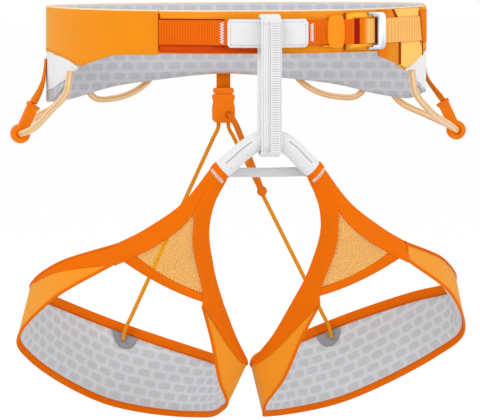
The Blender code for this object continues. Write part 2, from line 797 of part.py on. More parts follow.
def build_leg_loops():
    route = list(ARCH_ROUTE) + [(-x, y, z) for x, y, z in ARCH_ROUTE[-2::-1]]
    centres = [HANG + Vector(row) for row in through(route, np.linspace(0, 1, 25))]

    def shape(u, v):
        i = round(u * 24)
        way = (centres[min(i + 1, 24)] - centres[max(i - 1, 0)]).normalized()
        back = (Vector((0, 1, 0)) - way * way.y).normalized()
        turn = 2 * math.pi * v
        depth = ARCH_DEPTH / 2 * math.cos(turn) * back
        return centres[i] + depth + ARCH_HEIGHT / 2 * math.sin(turn) * back.cross(way)

    pieces = [paint(rod("leg_tie_in_arch", shape, 24, 16), WHITE)]

    def bridge(u, v):
        place = HANG + along(BRIDGE_ROUTE, u)
        return place + Vector((0, 0, (v - 0.5) * BRIDGE_WIDTH))

    half = BRIDGE_THICKNESS / 2
    pieces.append(paint(sheet("leg_bridge_strap", bridge, 8, 1, -half, half), WHITE))
    for name, side in SIDES:
        pieces += build_leg(name, side)
    hang_on("leg_loops_pivot", HANG, pieces)


# Seat clip and risers


def build_clip():
    half = RISER_WEB_WIDTH / 2
    low = CLIP_TOP - CLIP_POCKET + GAP
    web_height = RISER_WEB_TOP - low
    web = block("riser_webbing", (0, CLIP_Y, low + web_height / 2), (2 * half, WEB_THICKNESS, web_height))
    paint(web, OCHRE)

    upright = Matrix.Translation((0, CLIP_Y, 0)) @ Matrix.Rotation(math.radians(90), 4, "X")
    reach = CLIP_BAR_WIDTH / 2
    outline = rounded(-reach, reach, CLIP_TOP - CLIP_BAR_HEIGHT, CLIP_TOP, CLIP_EAR)
    bar = plate("clip_male", [outline], CLIP_DEPTH, upright)
    pocket = (2 * half + 2 * GAP, WEB_THICKNESS + 2 * GAP, 2 * CLIP_POCKET)
    cut_box(bar, "pocket", (0, CLIP_Y, CLIP_TOP), pocket)
    paint(bar, ORANGE, 0.45)

    reach = CLIP_WIDTH / 2
    base = CLIP_BODY_TOP - CLIP_BODY_HEIGHT
    notch = CLIP_BODY_TOP - CLIP_WINDOW
    round_notch = (CLIP_WINDOW**2 / 4 + CLIP_NOTCH**2) / (2 * CLIP_NOTCH)
    spread = math.degrees(math.asin(CLIP_WINDOW / 2 / round_notch))
    right = arc((reach - CLIP_CORNER, base + CLIP_CORNER), CLIP_CORNER, 270, 360, 5)
    right += arc((reach - CLIP_NOTCH + round_notch, notch), round_notch, 180 + spread, 180 - spread, 4)
    right += arc((reach - CLIP_EAR, CLIP_BODY_TOP - CLIP_EAR), CLIP_EAR, 0, 90, 3)
    outline = right + [(-x, z) for x, z in reversed(right)]
    body = plate("clip_body", [outline], CLIP_DEPTH, upright)
    inside = (CLIP_WIDTH - 2 * CLIP_WALL, CLIP_DEPTH - 2 * CLIP_WALL, 2 * CLIP_CAVITY)
    cut_box(body, "cavity", (0, CLIP_Y, CLIP_BODY_TOP), inside)
    cut_box(
        body,
        "windows",
        (0, CLIP_Y, CLIP_BODY_TOP - CLIP_WINDOW),
        (2 * CLIP_WIDTH, CLIP_DEPTH - 2 * CLIP_WALL - 2 * GAP, CLIP_WINDOW),
    )
    for name, side in SIDES:
        cut_hole(
            body,
            f"cord_hole_{name}",
            (side * CORD_HOLE_X, CLIP_Y, base),
            RISER_RADIUS + GAP,
            2 * (CORD_SEAT + GAP),
            (0, 0, 1),
        )
    hole = Vector((TAIL_X, CLIP_Y - CLIP_DEPTH / 2, CLIP_BODY_TOP - TAIL_DROP))
    cut_hole(body, "tail_hole", hole, TAIL_RADIUS + GAP, 0.004, (0, 1, 0))
    paint(body, ORANGE, 0.45)

    for name, side in SIDES:
        reach = CLIP_WIDTH / 2 - CLIP_WALL - 2 * GAP - CLIP_ARM_WIDTH / 2
        top = CLIP_BODY_TOP
        arm = block(
            f"clip_arm_{name}",
            (side * reach, CLIP_Y, top - CLIP_ARM_LENGTH / 2),
            (CLIP_ARM_WIDTH, CLIP_DEPTH - 2 * CLIP_WALL - 4 * GAP, CLIP_ARM_LENGTH),
        )
        paint(arm, ORANGE, 0.45)
        hang_on(f"clip_arm_{name}_pivot", (side * reach, CLIP_Y, top), [arm])

    points = [hole + Vector(row) for row in through(TAIL_ROUTE, np.linspace(0, 1, 16))]
    way = (points[-1] - points[-2]).normalized()
    radii = [1.0] * len(points)
    for step in range(7):
        turn = math.pi * (0.2 + 0.7 * step / 6)
        points.append(points[15] + way * (TAIL_RADIUS * TAIL_BALL * (1 - math.cos(turn))))
        radii.append(TAIL_BALL * math.sin(turn) + 0.02)
    paint(tube("pull_tail", points, TAIL_RADIUS, radii), ORANGE)

    for name, side in SIDES:
        low, high = pad_inset(TAB_PLACE, BINDING_TOP, BINDING_LOW)
        foot = pad_point(TAB_PLACE, high, side)
        up = (pad_point(TAB_PLACE, 1, side) - foot).normalized()
        ahead = (pad_point(TAB_PLACE + 0.01, high, side) - foot).normalized()
        inward = up.cross(ahead) * side
        start = foot + inward * (LEG_SHELL_THICKNESS + GAP + RISER_RADIUS + GAP) + up * GAP * 2
        knee = start + up * 1.5 * BINDING_TOP
        end = Vector((side * CORD_HOLE_X, CLIP_Y, base + CORD_SEAT))
        drop = end - Vector((0, 0, 2 * CORD_SEAT))
        rows = [start, knee] + [knee.lerp(drop, share) for share in (0.06, 0.5, 0.95)] + [drop, end]
        points = [Vector(row) for row in through(rows, np.linspace(0, 1, 32))]
        paint(tube(f"riser_cord_{name}", points, RISER_RADIUS), OCHRE)


# Gear loops


def gear_path(rows, side, count):
    places = [waist(side * turn, out, z) for turn, out, z in rows]
    return [Vector(row) for row in through(places, np.linspace(0, 1, count))]


def build_gear_loops():
    for name, side in SIDES:
        flare = HIP_FLARE_LEFT if side < 0 else HIP_FLARE_RIGHT
        rows = [(flare + step, out, z) for step, out, z in FRONT_GEAR_START] + list(FRONT_GEAR_END)
        points = gear_path(rows, side, 36)
        loop = paint(tube(f"front_gear_loop_{name}", points, GEAR_RADIUS), CREAM, 0.4)

        def strap(u, v, side=side):
            rows = [(math.radians(turn) / 10, out, z) for turn, out, z in HANGER_ROUTE]
            turn, out, z = (float(value) for value in through(rows, v)[0])
            frame = waist_frame(side * (HANGER_ANGLE + math.degrees(10 * turn)), out, z)
            return frame @ Vector(((u - 0.5) * HANGER_WIDTH, 0, 0))

        paint(sheet(f"hanger_strap_{name}", strap, 2, 16, 0, HANGER_THICKNESS, flip=True), ORANGE)

        ring = next(Vector((out, z)) for turn, out, z in FRONT_GEAR_END if turn == HANGER_ANGLE)
        last = Vector(HANGER_ROUTE[-1][1:])
        run = (last - Vector(HANGER_ROUTE[-2][1:])).normalized()
        across = Vector((-run.y, run.x))
        root = last + across * HANGER_THICKNESS / 2 + run * 2 * GAP
        back = root - ring
        turn = math.degrees(math.atan2(back.y, back.x))
        open_angle = math.degrees(math.asin(HANGER_NECK / 2 / HANGER_RING_RADIUS))
        outline = arc(ring, HANGER_RING_RADIUS, turn + open_angle, turn + 360 - open_angle, 20)
        for sign, spots in ((1, (HANGER_EAR_HEIGHT, 0)), (-1, (0, HANGER_EAR_HEIGHT))):
            side_points = [root + run * spot + sign * across * HANGER_EAR / 2 for spot in spots]
            neck = root + run * HANGER_EAR_HEIGHT + sign * across * HANGER_NECK / 2
            outline += [neck] + side_points if sign > 0 else side_points + [neck]
        hole = arc(ring, HANGER_HOLE_RADIUS, 0, 337.5, 15)
        axes = Matrix(((0, 0, -1), (-1, 0, 0), (0, 1, 0))).to_4x4()
        frame = waist_frame(side * HANGER_ANGLE, 0, 0) @ axes
        holder = paint(plate(f"hanger_ring_{name}", [outline, hole], HANGER_PLATE, frame), ORANGE, 0.45)
        hang_on(f"front_gear_loop_{name}_pivot", (points[0] + points[-1]) / 2, [loop, holder])

        points = gear_path(REAR_GEAR, side, 24)
        loop = paint(tube(f"rear_gear_loop_{name}", points, GEAR_RADIUS * 0.92), CREAM, 0.4)
        hang_on(f"rear_gear_loop_{name}_pivot", (points[0] + points[-1]) / 2, [loop])


for item in list(bpy.data.objects):
    bpy.data.objects.remove(item, do_unlink=True)
PARTS = bpy.data.collections.new("climbing_harness")
CUTTERS = bpy.data.collections.new("cutters")
for group in (PARTS, CUTTERS):
    bpy.context.scene.collection.children.link(group)
build_belt()
build_webbing()
build_buckle()
build_belay_loop()
build_leg_loops()
build_clip()
build_gear_loops()
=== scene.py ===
"""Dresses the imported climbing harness: woven webbing, padded linings, cords, metal and moulded plastic."""

import json
import math

import bpy
import numpy as np
from mathutils import Matrix, Vector


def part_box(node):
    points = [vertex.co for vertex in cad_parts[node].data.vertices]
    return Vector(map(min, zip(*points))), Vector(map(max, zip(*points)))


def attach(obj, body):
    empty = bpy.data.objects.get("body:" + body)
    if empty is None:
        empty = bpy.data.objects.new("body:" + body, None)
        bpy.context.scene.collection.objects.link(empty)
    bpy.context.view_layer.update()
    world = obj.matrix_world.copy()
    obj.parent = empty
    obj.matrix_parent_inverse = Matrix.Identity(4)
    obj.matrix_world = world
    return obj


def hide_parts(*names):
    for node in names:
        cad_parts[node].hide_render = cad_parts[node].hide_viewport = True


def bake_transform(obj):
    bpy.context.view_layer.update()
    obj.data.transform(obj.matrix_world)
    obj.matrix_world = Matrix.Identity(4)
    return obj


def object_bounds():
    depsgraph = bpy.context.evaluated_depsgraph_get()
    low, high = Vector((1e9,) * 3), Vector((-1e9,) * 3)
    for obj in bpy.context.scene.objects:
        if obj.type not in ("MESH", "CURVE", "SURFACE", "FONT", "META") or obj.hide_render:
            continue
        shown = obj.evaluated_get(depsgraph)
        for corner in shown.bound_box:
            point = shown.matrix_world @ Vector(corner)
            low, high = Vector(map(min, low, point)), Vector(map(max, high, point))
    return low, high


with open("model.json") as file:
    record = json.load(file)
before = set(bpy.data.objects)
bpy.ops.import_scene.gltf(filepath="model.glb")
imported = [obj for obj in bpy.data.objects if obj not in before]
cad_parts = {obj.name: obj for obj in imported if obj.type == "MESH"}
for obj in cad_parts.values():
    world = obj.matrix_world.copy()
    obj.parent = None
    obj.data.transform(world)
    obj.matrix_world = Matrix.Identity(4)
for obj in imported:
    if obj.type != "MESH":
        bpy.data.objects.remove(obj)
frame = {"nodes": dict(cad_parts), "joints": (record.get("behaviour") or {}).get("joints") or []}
CAD_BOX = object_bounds()

bl_info = {
    "name": "Climbing harness",
    "version": (1, 0, 0),
    "blender": (4, 5, 0),
    "location": "3D View > Sidebar > Harness",
    "description": "Soft goods, cords and fittings of a sit harness on its CAD frame",
    "category": "Object",
}

SIDES = (("left", -1), ("right", 1))
# Clearance between pieces, and the least step between layers of cloth
GAP = 0.0003
SKIN = 0.0001

# Waist ring, as in the part's source: metres, and degrees from the front towards +X
HALF_WIDTH = 0.163
FRONT_DEPTH = 0.146
BACK_DEPTH = 0.054
WIDEST_Y = 0.046
BELT_TOP = 0.017
TONGUE_BOTTOM = -0.018
WING_LEFT = -33.0
WING_RIGHT = 48.0
FLARES = {-1: 63.0, 1: 51.0}
BELT_STEP = 1.5
# Belt panel's lower edge and the hip panel's seam above it: degrees past the flare, height
FLARE_EDGE = {
    -1: ((-14, -0.0198), (-7, -0.0255), (0, -0.030), (7, -0.0425), (15, -0.057), (25, -0.062)),
    1: (
        *((-14, -0.0205), (-8, -0.0265), (-3, -0.0302), (0, -0.0325)),
        *((4, -0.0375), (7, -0.0425), (15, -0.057), (25, -0.062)),
    ),
}
HIP_SEAM = {
    -1: ((2, 0.0025), (7, 0.016), (14, 0.032), (22, 0.040), (30, 0.041), (50, 0.032), (66, 0.004)),
    1: (
        *((2, 0.0006), (3.5, 0.0032), (7, 0.0113), (14, 0.0305)),
        *((22, 0.039), (30, 0.041), (50, 0.032), (66, 0.004)),
    ),
}
# How far the hip panel ends above the belt's lower edge: degrees past the flare, height
HIP_HEM = ((6, 0), (14, 0.0065), (32, 0.0075), (60, 0))
HIP_LAP = 0.0004
# Rolled edge of the lining under the hip panel: degrees past the flare, least height
ROLL_SPAN = (8, 58)
ROLL_LEAST = 0.0012
# Behind the flares: degrees from the front, height
BACK_EDGE = ((116, -0.060), (144, -0.050), (180, -0.043))
LINING_EDGE = {
    -1: (
        *((49, -0.0195), (63, -0.027), (70, -0.043), (77, -0.0575)),
        *((84, -0.0632), (100, -0.0645), (116, -0.0648)),
    ),
    1: (
        *((37, -0.0195), (51, -0.027), (58, -0.042), (66, -0.0535)),
        *((76, -0.057), (90, -0.0585), (110, -0.065)),
    ),
}
LINING_BACK = ((128, -0.0612), (144, -0.0525), (180, -0.042))
PANEL_EDGE = {
    side: ((0, TONGUE_BOTTOM), *((flare + past, z) for past, z in FLARE_EDGE[side]), *BACK_EDGE)
    for side, flare in FLARES.items()
}
HIP_RISE = {side: [(flare + past, rise) for past, rise in HIP_SEAM[side]] for side, flare in FLARES.items()}
LINING_HEM = {side: ((0, TONGUE_BOTTOM), *rows, *LINING_BACK) for side, rows in LINING_EDGE.items()}
# Thicknesses, and the nominal widths that their round edges follow
SHELL = 0.0014
LINING = 0.0055
TONGUE = 0.0028
PANEL_WIDTH = 0.05
HIP_WIDTH = 0.03
ROLL_WIDTH = 0.006
# How square the crown of a pad is, and its thickness at the edge
PAD_SQUARE = 7
PAD_EDGE = 0.0002
# Hip seam's height above the hip panel, and the cord along the belt's edges; its pale colour on the top edges
# is a painted highlight
SEAM_RISE = 0.0022
PIPING_RADIUS = 0.00085
# The front band's inset from the wings, and the wings' piped stretches: degrees
TONGUE_INSET = 0.2
WING_PIPING = {"left": (297, 360 + WING_LEFT), "right": (WING_RIGHT, 53)}

# Front webbing: degrees, and distance off the belt
WEB_Z = -0.001
WEB_WIDTH = 0.021
WEB_THICKNESS = 0.0015
WEB_LOW = WEB_Z - WEB_WIDTH / 2
WEB_HIGH = WEB_Z + WEB_WIDTH / 2
WEB_STEP = 0.8
WEB_LEFT = ((-32.5, 0.0005), (-17, 0.0005), (-12.6, 0.0052))
WEB_RIGHT = ((12.6, 0.0052), (17, 0.0022), (23.4, 0.0023), (24.3, 0.0045), (26.75, 0.0045), (27.3, 0.0008))
TAIL_LIFT = ((29.5, 0.0008), (29.9, 0.0042), (33, 0.0042), (35.4, 0.0016), (66.5, 0.0016))
# Bar tacks beside the sleeve: degrees, half height
WEB_TACKS = ((-13.35, 0.0083), (12.95, 0.0068))
WEB_TACK_TURN = 0.4
WEB_TACK_LEAN = 0.35
WEB_TACK_COUNT = 16
WEB_TACK_LENGTH = 0.0043
WEB_TACK_RADIUS = 0.00052

# Strips on the belt, most of them painted shade and painted highlight: finish, slot, degrees below and above,
# section as for flat_section, columns
SHADE_STRIP = (0.0004, 0.02)
BELT_STRIPS = {
    # The webbing in the buckle's slot, dark as painted shadow
    "slot_bight": ("deep", "red_webbing", (26.85, 29.75), None, (0.0008, WEB_WIDTH, 0.0036), 9),
    "facing_end": ("facing", "red_webbing", (-32.9, -32.35), None, (*SHADE_STRIP, SKIN), 2),
    "facing_top": ("facing", "red_webbing", (-32.4, -12.8), None, (*SHADE_STRIP, SKIN), 26),
    "facing_low": ("facing_low", "red_webbing", (-32.4, -2.6), None, (*SHADE_STRIP, SKIN), 39),
    "facing_elastic_low": ("facing", "red_webbing", (47.9, 49.2), None, (*SHADE_STRIP, 0.0012), 3),
    # A dark strip by the frame's bar: painted shadow between the tail and the bar
    "tail_fold": ("fold", "red_webbing", (35.75, 36.5), None, (0.0006, WEB_WIDTH, 0.0033), 3),
    "elastic_band": ("keeper", "orange_webbing", (38.0, 47.9), None, (0.001, 0.039, GAP, 3), 11),
    "tail_guard": ("elastic", "orange_webbing", (63.6, 67.2), (60.8, 67.2), (0.001, 0.03, 0.0034, 3), 12),
    "facing_elastic_top": ("facing", "red_webbing", (46.3, 47.6), (44.2, 45.3), (*SHADE_STRIP, 0.0015), 12),
    "facing_side": ("facing", "red_webbing", (66.2, 67.0), (65.6, 66.4), (*SHADE_STRIP, 0.0012), 12),
    # Pale strips: painted highlight on the belt's right end
    "side_cover_top": ("side", "orange_webbing", (47.4, 62), (45.1, 62), (0.0005, 0.012, 0.00135), 12),
    "side_cover_low": ("side", "orange_webbing", (49.1, 66.3), None, (0.0005, 0.02, 0.0006), 12),
}
# How far the strips end inside the belt's edges and reach under the webbing
EDGE_INSET = 0.0006
WEB_LAP = 0.001
# Heights, and the degrees at which the narrow strips of painted shade meet a slanting edge
SHADE_STRIP_END = (-0.0165, 0.0148)
SHADE_STRIP_RISE = 0.0011
SHADE_STRIP_FOOT = 48.6
SHADE_SIDE_FOOT = 66.6
SHADE_SIDE_TOP = -0.0125
ELASTIC_DROP = 0.0004
GUARD_LOW = -0.0135
GUARD_INSET = 0.002

# Tie-in sleeve: it stands off the belt in a bow
STANDOFF = 0.0112
SLEEVE_ANGLE = 12.2
SLEEVE_BOW = 56
SLEEVE_ENDS = (-11.8, 11.4)
SLEEVE_HALF = WEB_THICKNESS / 2 + 0.0006 + 0.0014
SLEEVE_REACH = 0.012
SLEEVE_WIDTH = 0.025
SLEEVE_DROP = 0.0004
SLEEVE_CORNER = 0.0022
SLEEVE_SEAMS = (-0.0100, 0.0092)
SLEEVE_SEAM_INSET = 0.9

# Rubber keeper beside the buckle: degrees, lift and how square its two ends are
KEEPER_MIDDLE = 21.0
KEEPER_HALF = 2.75
KEEPER_LIFT = 0.0036
KEEPER_TRIM = 0.0016
KEEPER_SQUARE = (3.0, 6.0)
KEEPER_DOME = (0.0008, 0.0012)
KEEPER_SPAN = 0.985
# Its two walls and back: degrees at which each starts and all end, section, columns
KEEPER_WALLS = {
    "wall_top": (19.0, (0.0034, 0.003, GAP), 8),
    "wall_low": (16.8, (0.0034, 0.003, GAP), 12),
    "back": (19.0, (0.0012, 0.02, GAP), 8),
}
KEEPER_END = 23.0
KEEPER_PLAY = 0.0004
KEEPER_INSET = 0.0012

# Buckle's loose frame, from its hinge
BAIL_LENGTH = 0.0152
BAIL_BAR = 0.0078
BAIL_PLATE = 0.0022
BAIL_CORNER = 0.0042
BAIL_EYE = 0.0017
BAIL_ARM = 0.0136
BAIL_STEP = 0.00255
BAIL_WINDOW = 0.0118

# Belay loop, with the strip sewn on its front strand: left and right edges of its parts
BELAY_THICKNESS = 0.0032
STRIP_EDGES = (-0.0016, 0.0074)
STRIP_THICKNESS = 0.0009
STRIP_WIDTH = 0.009
# Distances from the loop's top and bottom at which the strip and its stitches end
STRIP_ENDS = (0.006, 0.003)
RUNG_ENDS = (0.007, 0.004)
STRIP_RAILS = (-0.0014, 0.0072)
LOOP_RAILS = (-0.0074, -0.0052, -0.003)
RUNG_MIDDLE = 0.0029
RUNG_PITCH = 0.002
RUNG_LENGTH = 0.0074
RAIL_LENGTH = 0.0014
LADDER_THREAD = 0.0002

# Leg loops, from the middle of the arch
ARCH_ROUTE = (
    (-0.0389, 0.0105, -0.0251),
    (-0.0318, 0.0085, -0.0187),
    (-0.0182, 0.0028, -0.0062),
    (-0.0095, 0.0006, -0.0009),
    (0, 0, 0),
)
ARCH_DEPTH = 0.00575
ARCH_HEIGHT = 0.00825
# Where the bow's fold runs round it, its thickness and how far it stands out
ARCH_FOLD = math.radians(200)
ARCH_FOLD_RADIUS = 0.0004
FOLD_OUT = 0.00005
# Mean radii of the bow and its cuffs and the cuffs' length, which set the scale of their weave
BOW_RADIUS = 0.007
CUFF_RADIUS = 0.008
CUFF_RUN = 0.02
BRIDGE_ROUTE = ((-0.0345, 0.0166, -0.0275), (0, 0.0185, -0.028), (0.0345, 0.0166, -0.0275))
BRIDGE_WIDTH = 0.008
BRIDGE_THICKNESS = 0.0016
LEG_PAD = (
    ((-0.122, 0.041, -0.088), (-0.1255, 0.036, -0.1035)),
    ((-0.168, 0.086, -0.1075), (-0.174, 0.079, -0.138)),
    ((-0.182, 0.126, -0.1285), (-0.193, 0.131, -0.173)),
    ((-0.156, 0.166, -0.1395), (-0.177, 0.163, -0.1925)),
    ((-0.091, 0.2035, -0.1655), (-0.106, 0.2015, -0.2325)),
    ((-0.017, 0.156, -0.1905), (-0.032, 0.175, -0.2435)),
    ((-0.0035, 0.104, -0.1955), (-0.0185, 0.125, -0.2365)),
    ((-0.0019, 0.091, -0.1929), (-0.0165, 0.105, -0.2285)),
    ((-0.0048, 0.087, -0.188), (-0.0258, 0.086, -0.2105)),
    ((-0.0174, 0.07, -0.1674), (-0.0383, 0.06, -0.1714)),
    ((-0.030, 0.056, -0.1407), (-0.050, 0.039, -0.1405)),
)
OUTER_TOP = (
    (-0.045, 0.011, -0.0195),
    (-0.073, 0.018, -0.0545),
    (-0.1, 0.029, -0.0745),
    (-0.122, 0.041, -0.088),
)
OUTER_LOW = (
    (-0.0403, 0.011, -0.0255),
    (-0.0592, 0.0142, -0.0548),
    (-0.064, 0.015, -0.062),
    (-0.1125, 0.031, -0.098),
    (-0.1255, 0.036, -0.1035),
)
INNER_LOW = (
    (-0.0397, 0.011, -0.0264),
    (-0.0583, 0.0142, -0.0561),
    (-0.0622, 0.0152, -0.064),
    (-0.0525, 0.036, -0.131),
    (-0.05, 0.039, -0.1405),
)
INNER_TOP = (
    (-0.0345, 0.011, -0.0335),
    (-0.0441, 0.016, -0.0534),
    (-0.0475, 0.021, -0.0712),
    (-0.0415, 0.036, -0.1075),
    (-0.030, 0.056, -0.1407),
)
# Which rows of a strap's edge lie at the point of the window and at the cross band
WINDOW_ROW = 2
BAND_ROW = 3
# How far the inner strap is drawn in beside the net, and still at the pad
INNER_TRIM = 0.0045
PAD_TRIM = 0.0008
TRIM_FADE = 0.12
TRIM_START = 0.02
# How far each strap runs on along its pad, as a share of the pad
STRAP_REACH = {("outer", -1): 0.205, ("outer", 1): 0.009, ("inner", -1): 0.165, ("inner", 1): 0.165}
STRAP_THICKNESS = 0.002
STRAP_WIDTH = 0.013
STRAP_LIFT = {"outer": -0.0004, "inner": 0.0005}
STRAP_OVERLAP = {"outer": 0.0018, "inner": 0.0012}
STRAP_THIN = {"outer": 0.8, "inner": 0.4}
STRAP_COLUMNS = 70
WEDGE_COLUMNS = 24
WEDGE_START = 0.003
WEDGE_TAPER = 0.006
WEDGE_POWER = 2.4
FLARE_COLUMNS = 12
FLARE_WIDTH = 0.0011
# How far each side's cross band is moved up the outer and the inner strap
BAND_RISE = {-1: (0.033, 0.012), 1: (0.041, 0.048)}
BAND_SAG = 0.0035
BAND_TRIM = 0.12
BAND_THICKNESS = 0.0014
BAND_WIDTH = 0.009
BAND_CORD = 0.00055
BAND_CORD_LIFT = 0.0005
NET_COLUMNS = 30
NET_SAG = 0.0055
NET_BACK = 0.0011
NET_INSET = 0.0006
NET_OVERLAP = 0.02
CUFF_COLUMNS = 16
CUFF_SIDES = 28
# How far the cuff reaches on to the bow and past its end
CUFF_REACH = (-0.0006, 0.003)
CUFF_WIDTH = 0.0086
CUFF_DEPTHS = (0.0061, 0.0056, 0.0026, 0.0015)
CUFF_TACK_COUNT = 11
CUFF_TACK_LENGTH = 0.0034
CUFF_TACK_RADIUS = 0.0005
LEG_SHELL = 0.0014
LEG_LINING = 0.005
LEG_WIDTH = 0.04
LEG_COLUMNS = 150
LEG_ENDS = (0.002, 0.998)
# Hem tape folded round the pad: inside widths at the top and below, and outside widths
BINDING = 0.0004
BINDING_TOP = 0.0075
BINDING_LOW = 0.006
HEM_OUTSIDE = 0.0024
HEM_OUTSIDE_LOW = 0.0012
HEM_LAP = 0.0006
HEM_SEAM_INSIDE = 0.0062
HEM_SEAM_EDGE = 0.0014
# Height of the hem's stitches off the inside and the outside of the pad
HEM_LIFT = (0.0009, 0.0008)
# Share of the lower hem that the lining leaves bare
BINDING_BARE = 0.8
# Riser's patch on the lining: its place along the pad, as a share, and its sizes
TAB_PLACE = 0.515
TAB_RADIUS = 0.012
TAB_SPAN = 0.04
TAB_BEND = 1.55
TAB_THICKNESS = 0.0007
TAB_LAP = 0.0008
TAB_TUCK = 0.0002

# Seat clip, risers and pull tail
RISER_RADIUS = 0.0017
RISER_POINTS = 81
# Which of the riser's points ends its lower length and starts its upper one
RISER_SPLIT = 56
RISER_SHARES = (0.06, 0.5, 0.95)
RISER_SEWN = 0.005
RISER_KNEE = 1.2
RISER_LIFT = 0.0021
RISER_HOLE = 0.0044
RISER_SEAT = 0.0035
TAIL_ROUTE = (
    (0, 0.0015, 0),
    (0.0005, -0.004, -0.0005),
    (0.0035, -0.0075, -0.006),
    (0.009, -0.0085, -0.019),
    (0.0255, -0.0085, -0.061),
)
TAIL_HOLE = (0.0042, -0.0178)
TAIL_RADIUS = 0.0026
TAIL_POINTS = 40
KNOT_RADIUS = 1.65 * TAIL_RADIUS
KNOT_ARC = (0.2, 0.98)

# Gear loops: degrees, distance off the belt, height
FRONT_GEAR_START = ((3.5, 0.0038, -0.036), (5, 0.0044, -0.053), (12, 0.0085, -0.069))
FRONT_GEAR_END = (
    (79.5, 0.0205, -0.0855),
    (84.5, 0.0262, -0.09),
    (90, 0.0245, -0.0875),
    (104, 0.0135, -0.078),
    (117, 0.0056, -0.067),
    (124, 0.0038, -0.05),
)
REAR_GEAR = (
    (160, 0.0034, -0.036),
    (155.5, 0.0036, -0.0515),
    (144, 0.0036, -0.0635),
    (136, 0.0036, -0.0625),
    (131.5, 0.0034, -0.05),
    (130.5, 0.0034, -0.038),
)
FRONT_GEAR_RADIUS = 0.003
REAR_GEAR_RADIUS = 0.00276
BUSH_RADIUS = 0.00405
BUSH_HALF = 0.0028
HANGER_ANGLE = 84.5
HANGER_ROUTE = (
    (6.5, 0.0005, -0.019),
    (6.5, 0.0005, -0.034),
    (4.5, 0.0022, -0.047),
    (1.5, 0.0075, -0.0575),
    (0, 0.0128, -0.0655),
)
HANGER_START = 0.16
HANGER_COLUMNS = 30
HANGER_WIDTH = 0.011
HANGER_THICKNESS = 0.0022
# Strap's share of its thickness: columns, shares; and the column where it starts to bend
HANGER_SWELL = ((0, 10, 26), (0.25, 0.7, 2.0))

# Floor: its size, and how far it lies below the part
FLOOR_SIZE = 14
FLOOR_DROP = 0.03
# Camera: the photograph's direction, its scale and the object's place in it
CAMERA_AZIMUTH = -10.6
CAMERA_ELEVATION = 3.0
CAMERA_LENS = 900
CAMERA_SENSOR = 36
FRAME_WIDTH = 0.4064
FRAME_RIGHT = -0.0044
FRAME_UP = -0.1549
# Lamps: place, size, power
LAMPS = {
    "key_light": ((-1.7, -1.5, 1.5), 1.4, 30),
    "fill_light": ((1.8, -1.2, 0.7), 1.6, 17),
    "rear_light": ((0.3, 1.8, 1.5), 1.6, 14),
}
LAMP_AIM = (0, 0, -0.15)

# Stitching: a bead's rings, as shares of its length and radius, and its sides
BEAD_RINGS = ((-0.5, 0.25), (-0.36, 0.85), (0.0, 1.0), (0.36, 0.85), (0.5, 0.25))
BEAD_SIDES = 6
FINE_STITCH = 0.0015
FINE_PITCH = 0.0026
FINE_THREAD = 0.00026

# Angles past which a shaded or bevelled edge stays sharp
SMOOTH = 50.0
SMOOTH_ROUND = 60.0
SMOOTH_HARD = 35.0
MERGE = 1e-6


# Sizes and colours a user may change


def size_field(label, text, value, precision=4):
    return bpy.props.FloatProperty(
        name=label, description=text, default=value, unit="LENGTH", precision=precision
    )


class HarnessSizes(bpy.types.PropertyGroup):
    """Sizes of the woven and sewn detail"""

    thread: size_field("Thread", "Radius of a sewing stitch", 0.00033, 5)
    stitch: size_field("Stitch", "Length of one stitch", 0.0026)
    pitch: size_field("Stitch pitch", "From stitch to stitch", 0.0036)
    rib: size_field("Rib", "From rib to rib of the webbing", 0.0023)
    cell_length: size_field("Cell length", "Along the lining, from oval to oval", 0.0144)
    cell_height: size_field("Cell height", "Across the lining, from row to row", 0.0082)
    net_pitch: size_field("Net pitch", "From hole to hole of the net", 0.0014)
    net_strand: size_field("Net strand", "Thickness of the net's strands", 0.00126, 5)


def colour_field(label, value):
    return bpy.props.FloatVectorProperty(
        name=label,
        description=f"{label}, as linear light",
        default=value,
        subtype="COLOR",
        size=3,
        min=0,
        max=1,
    )


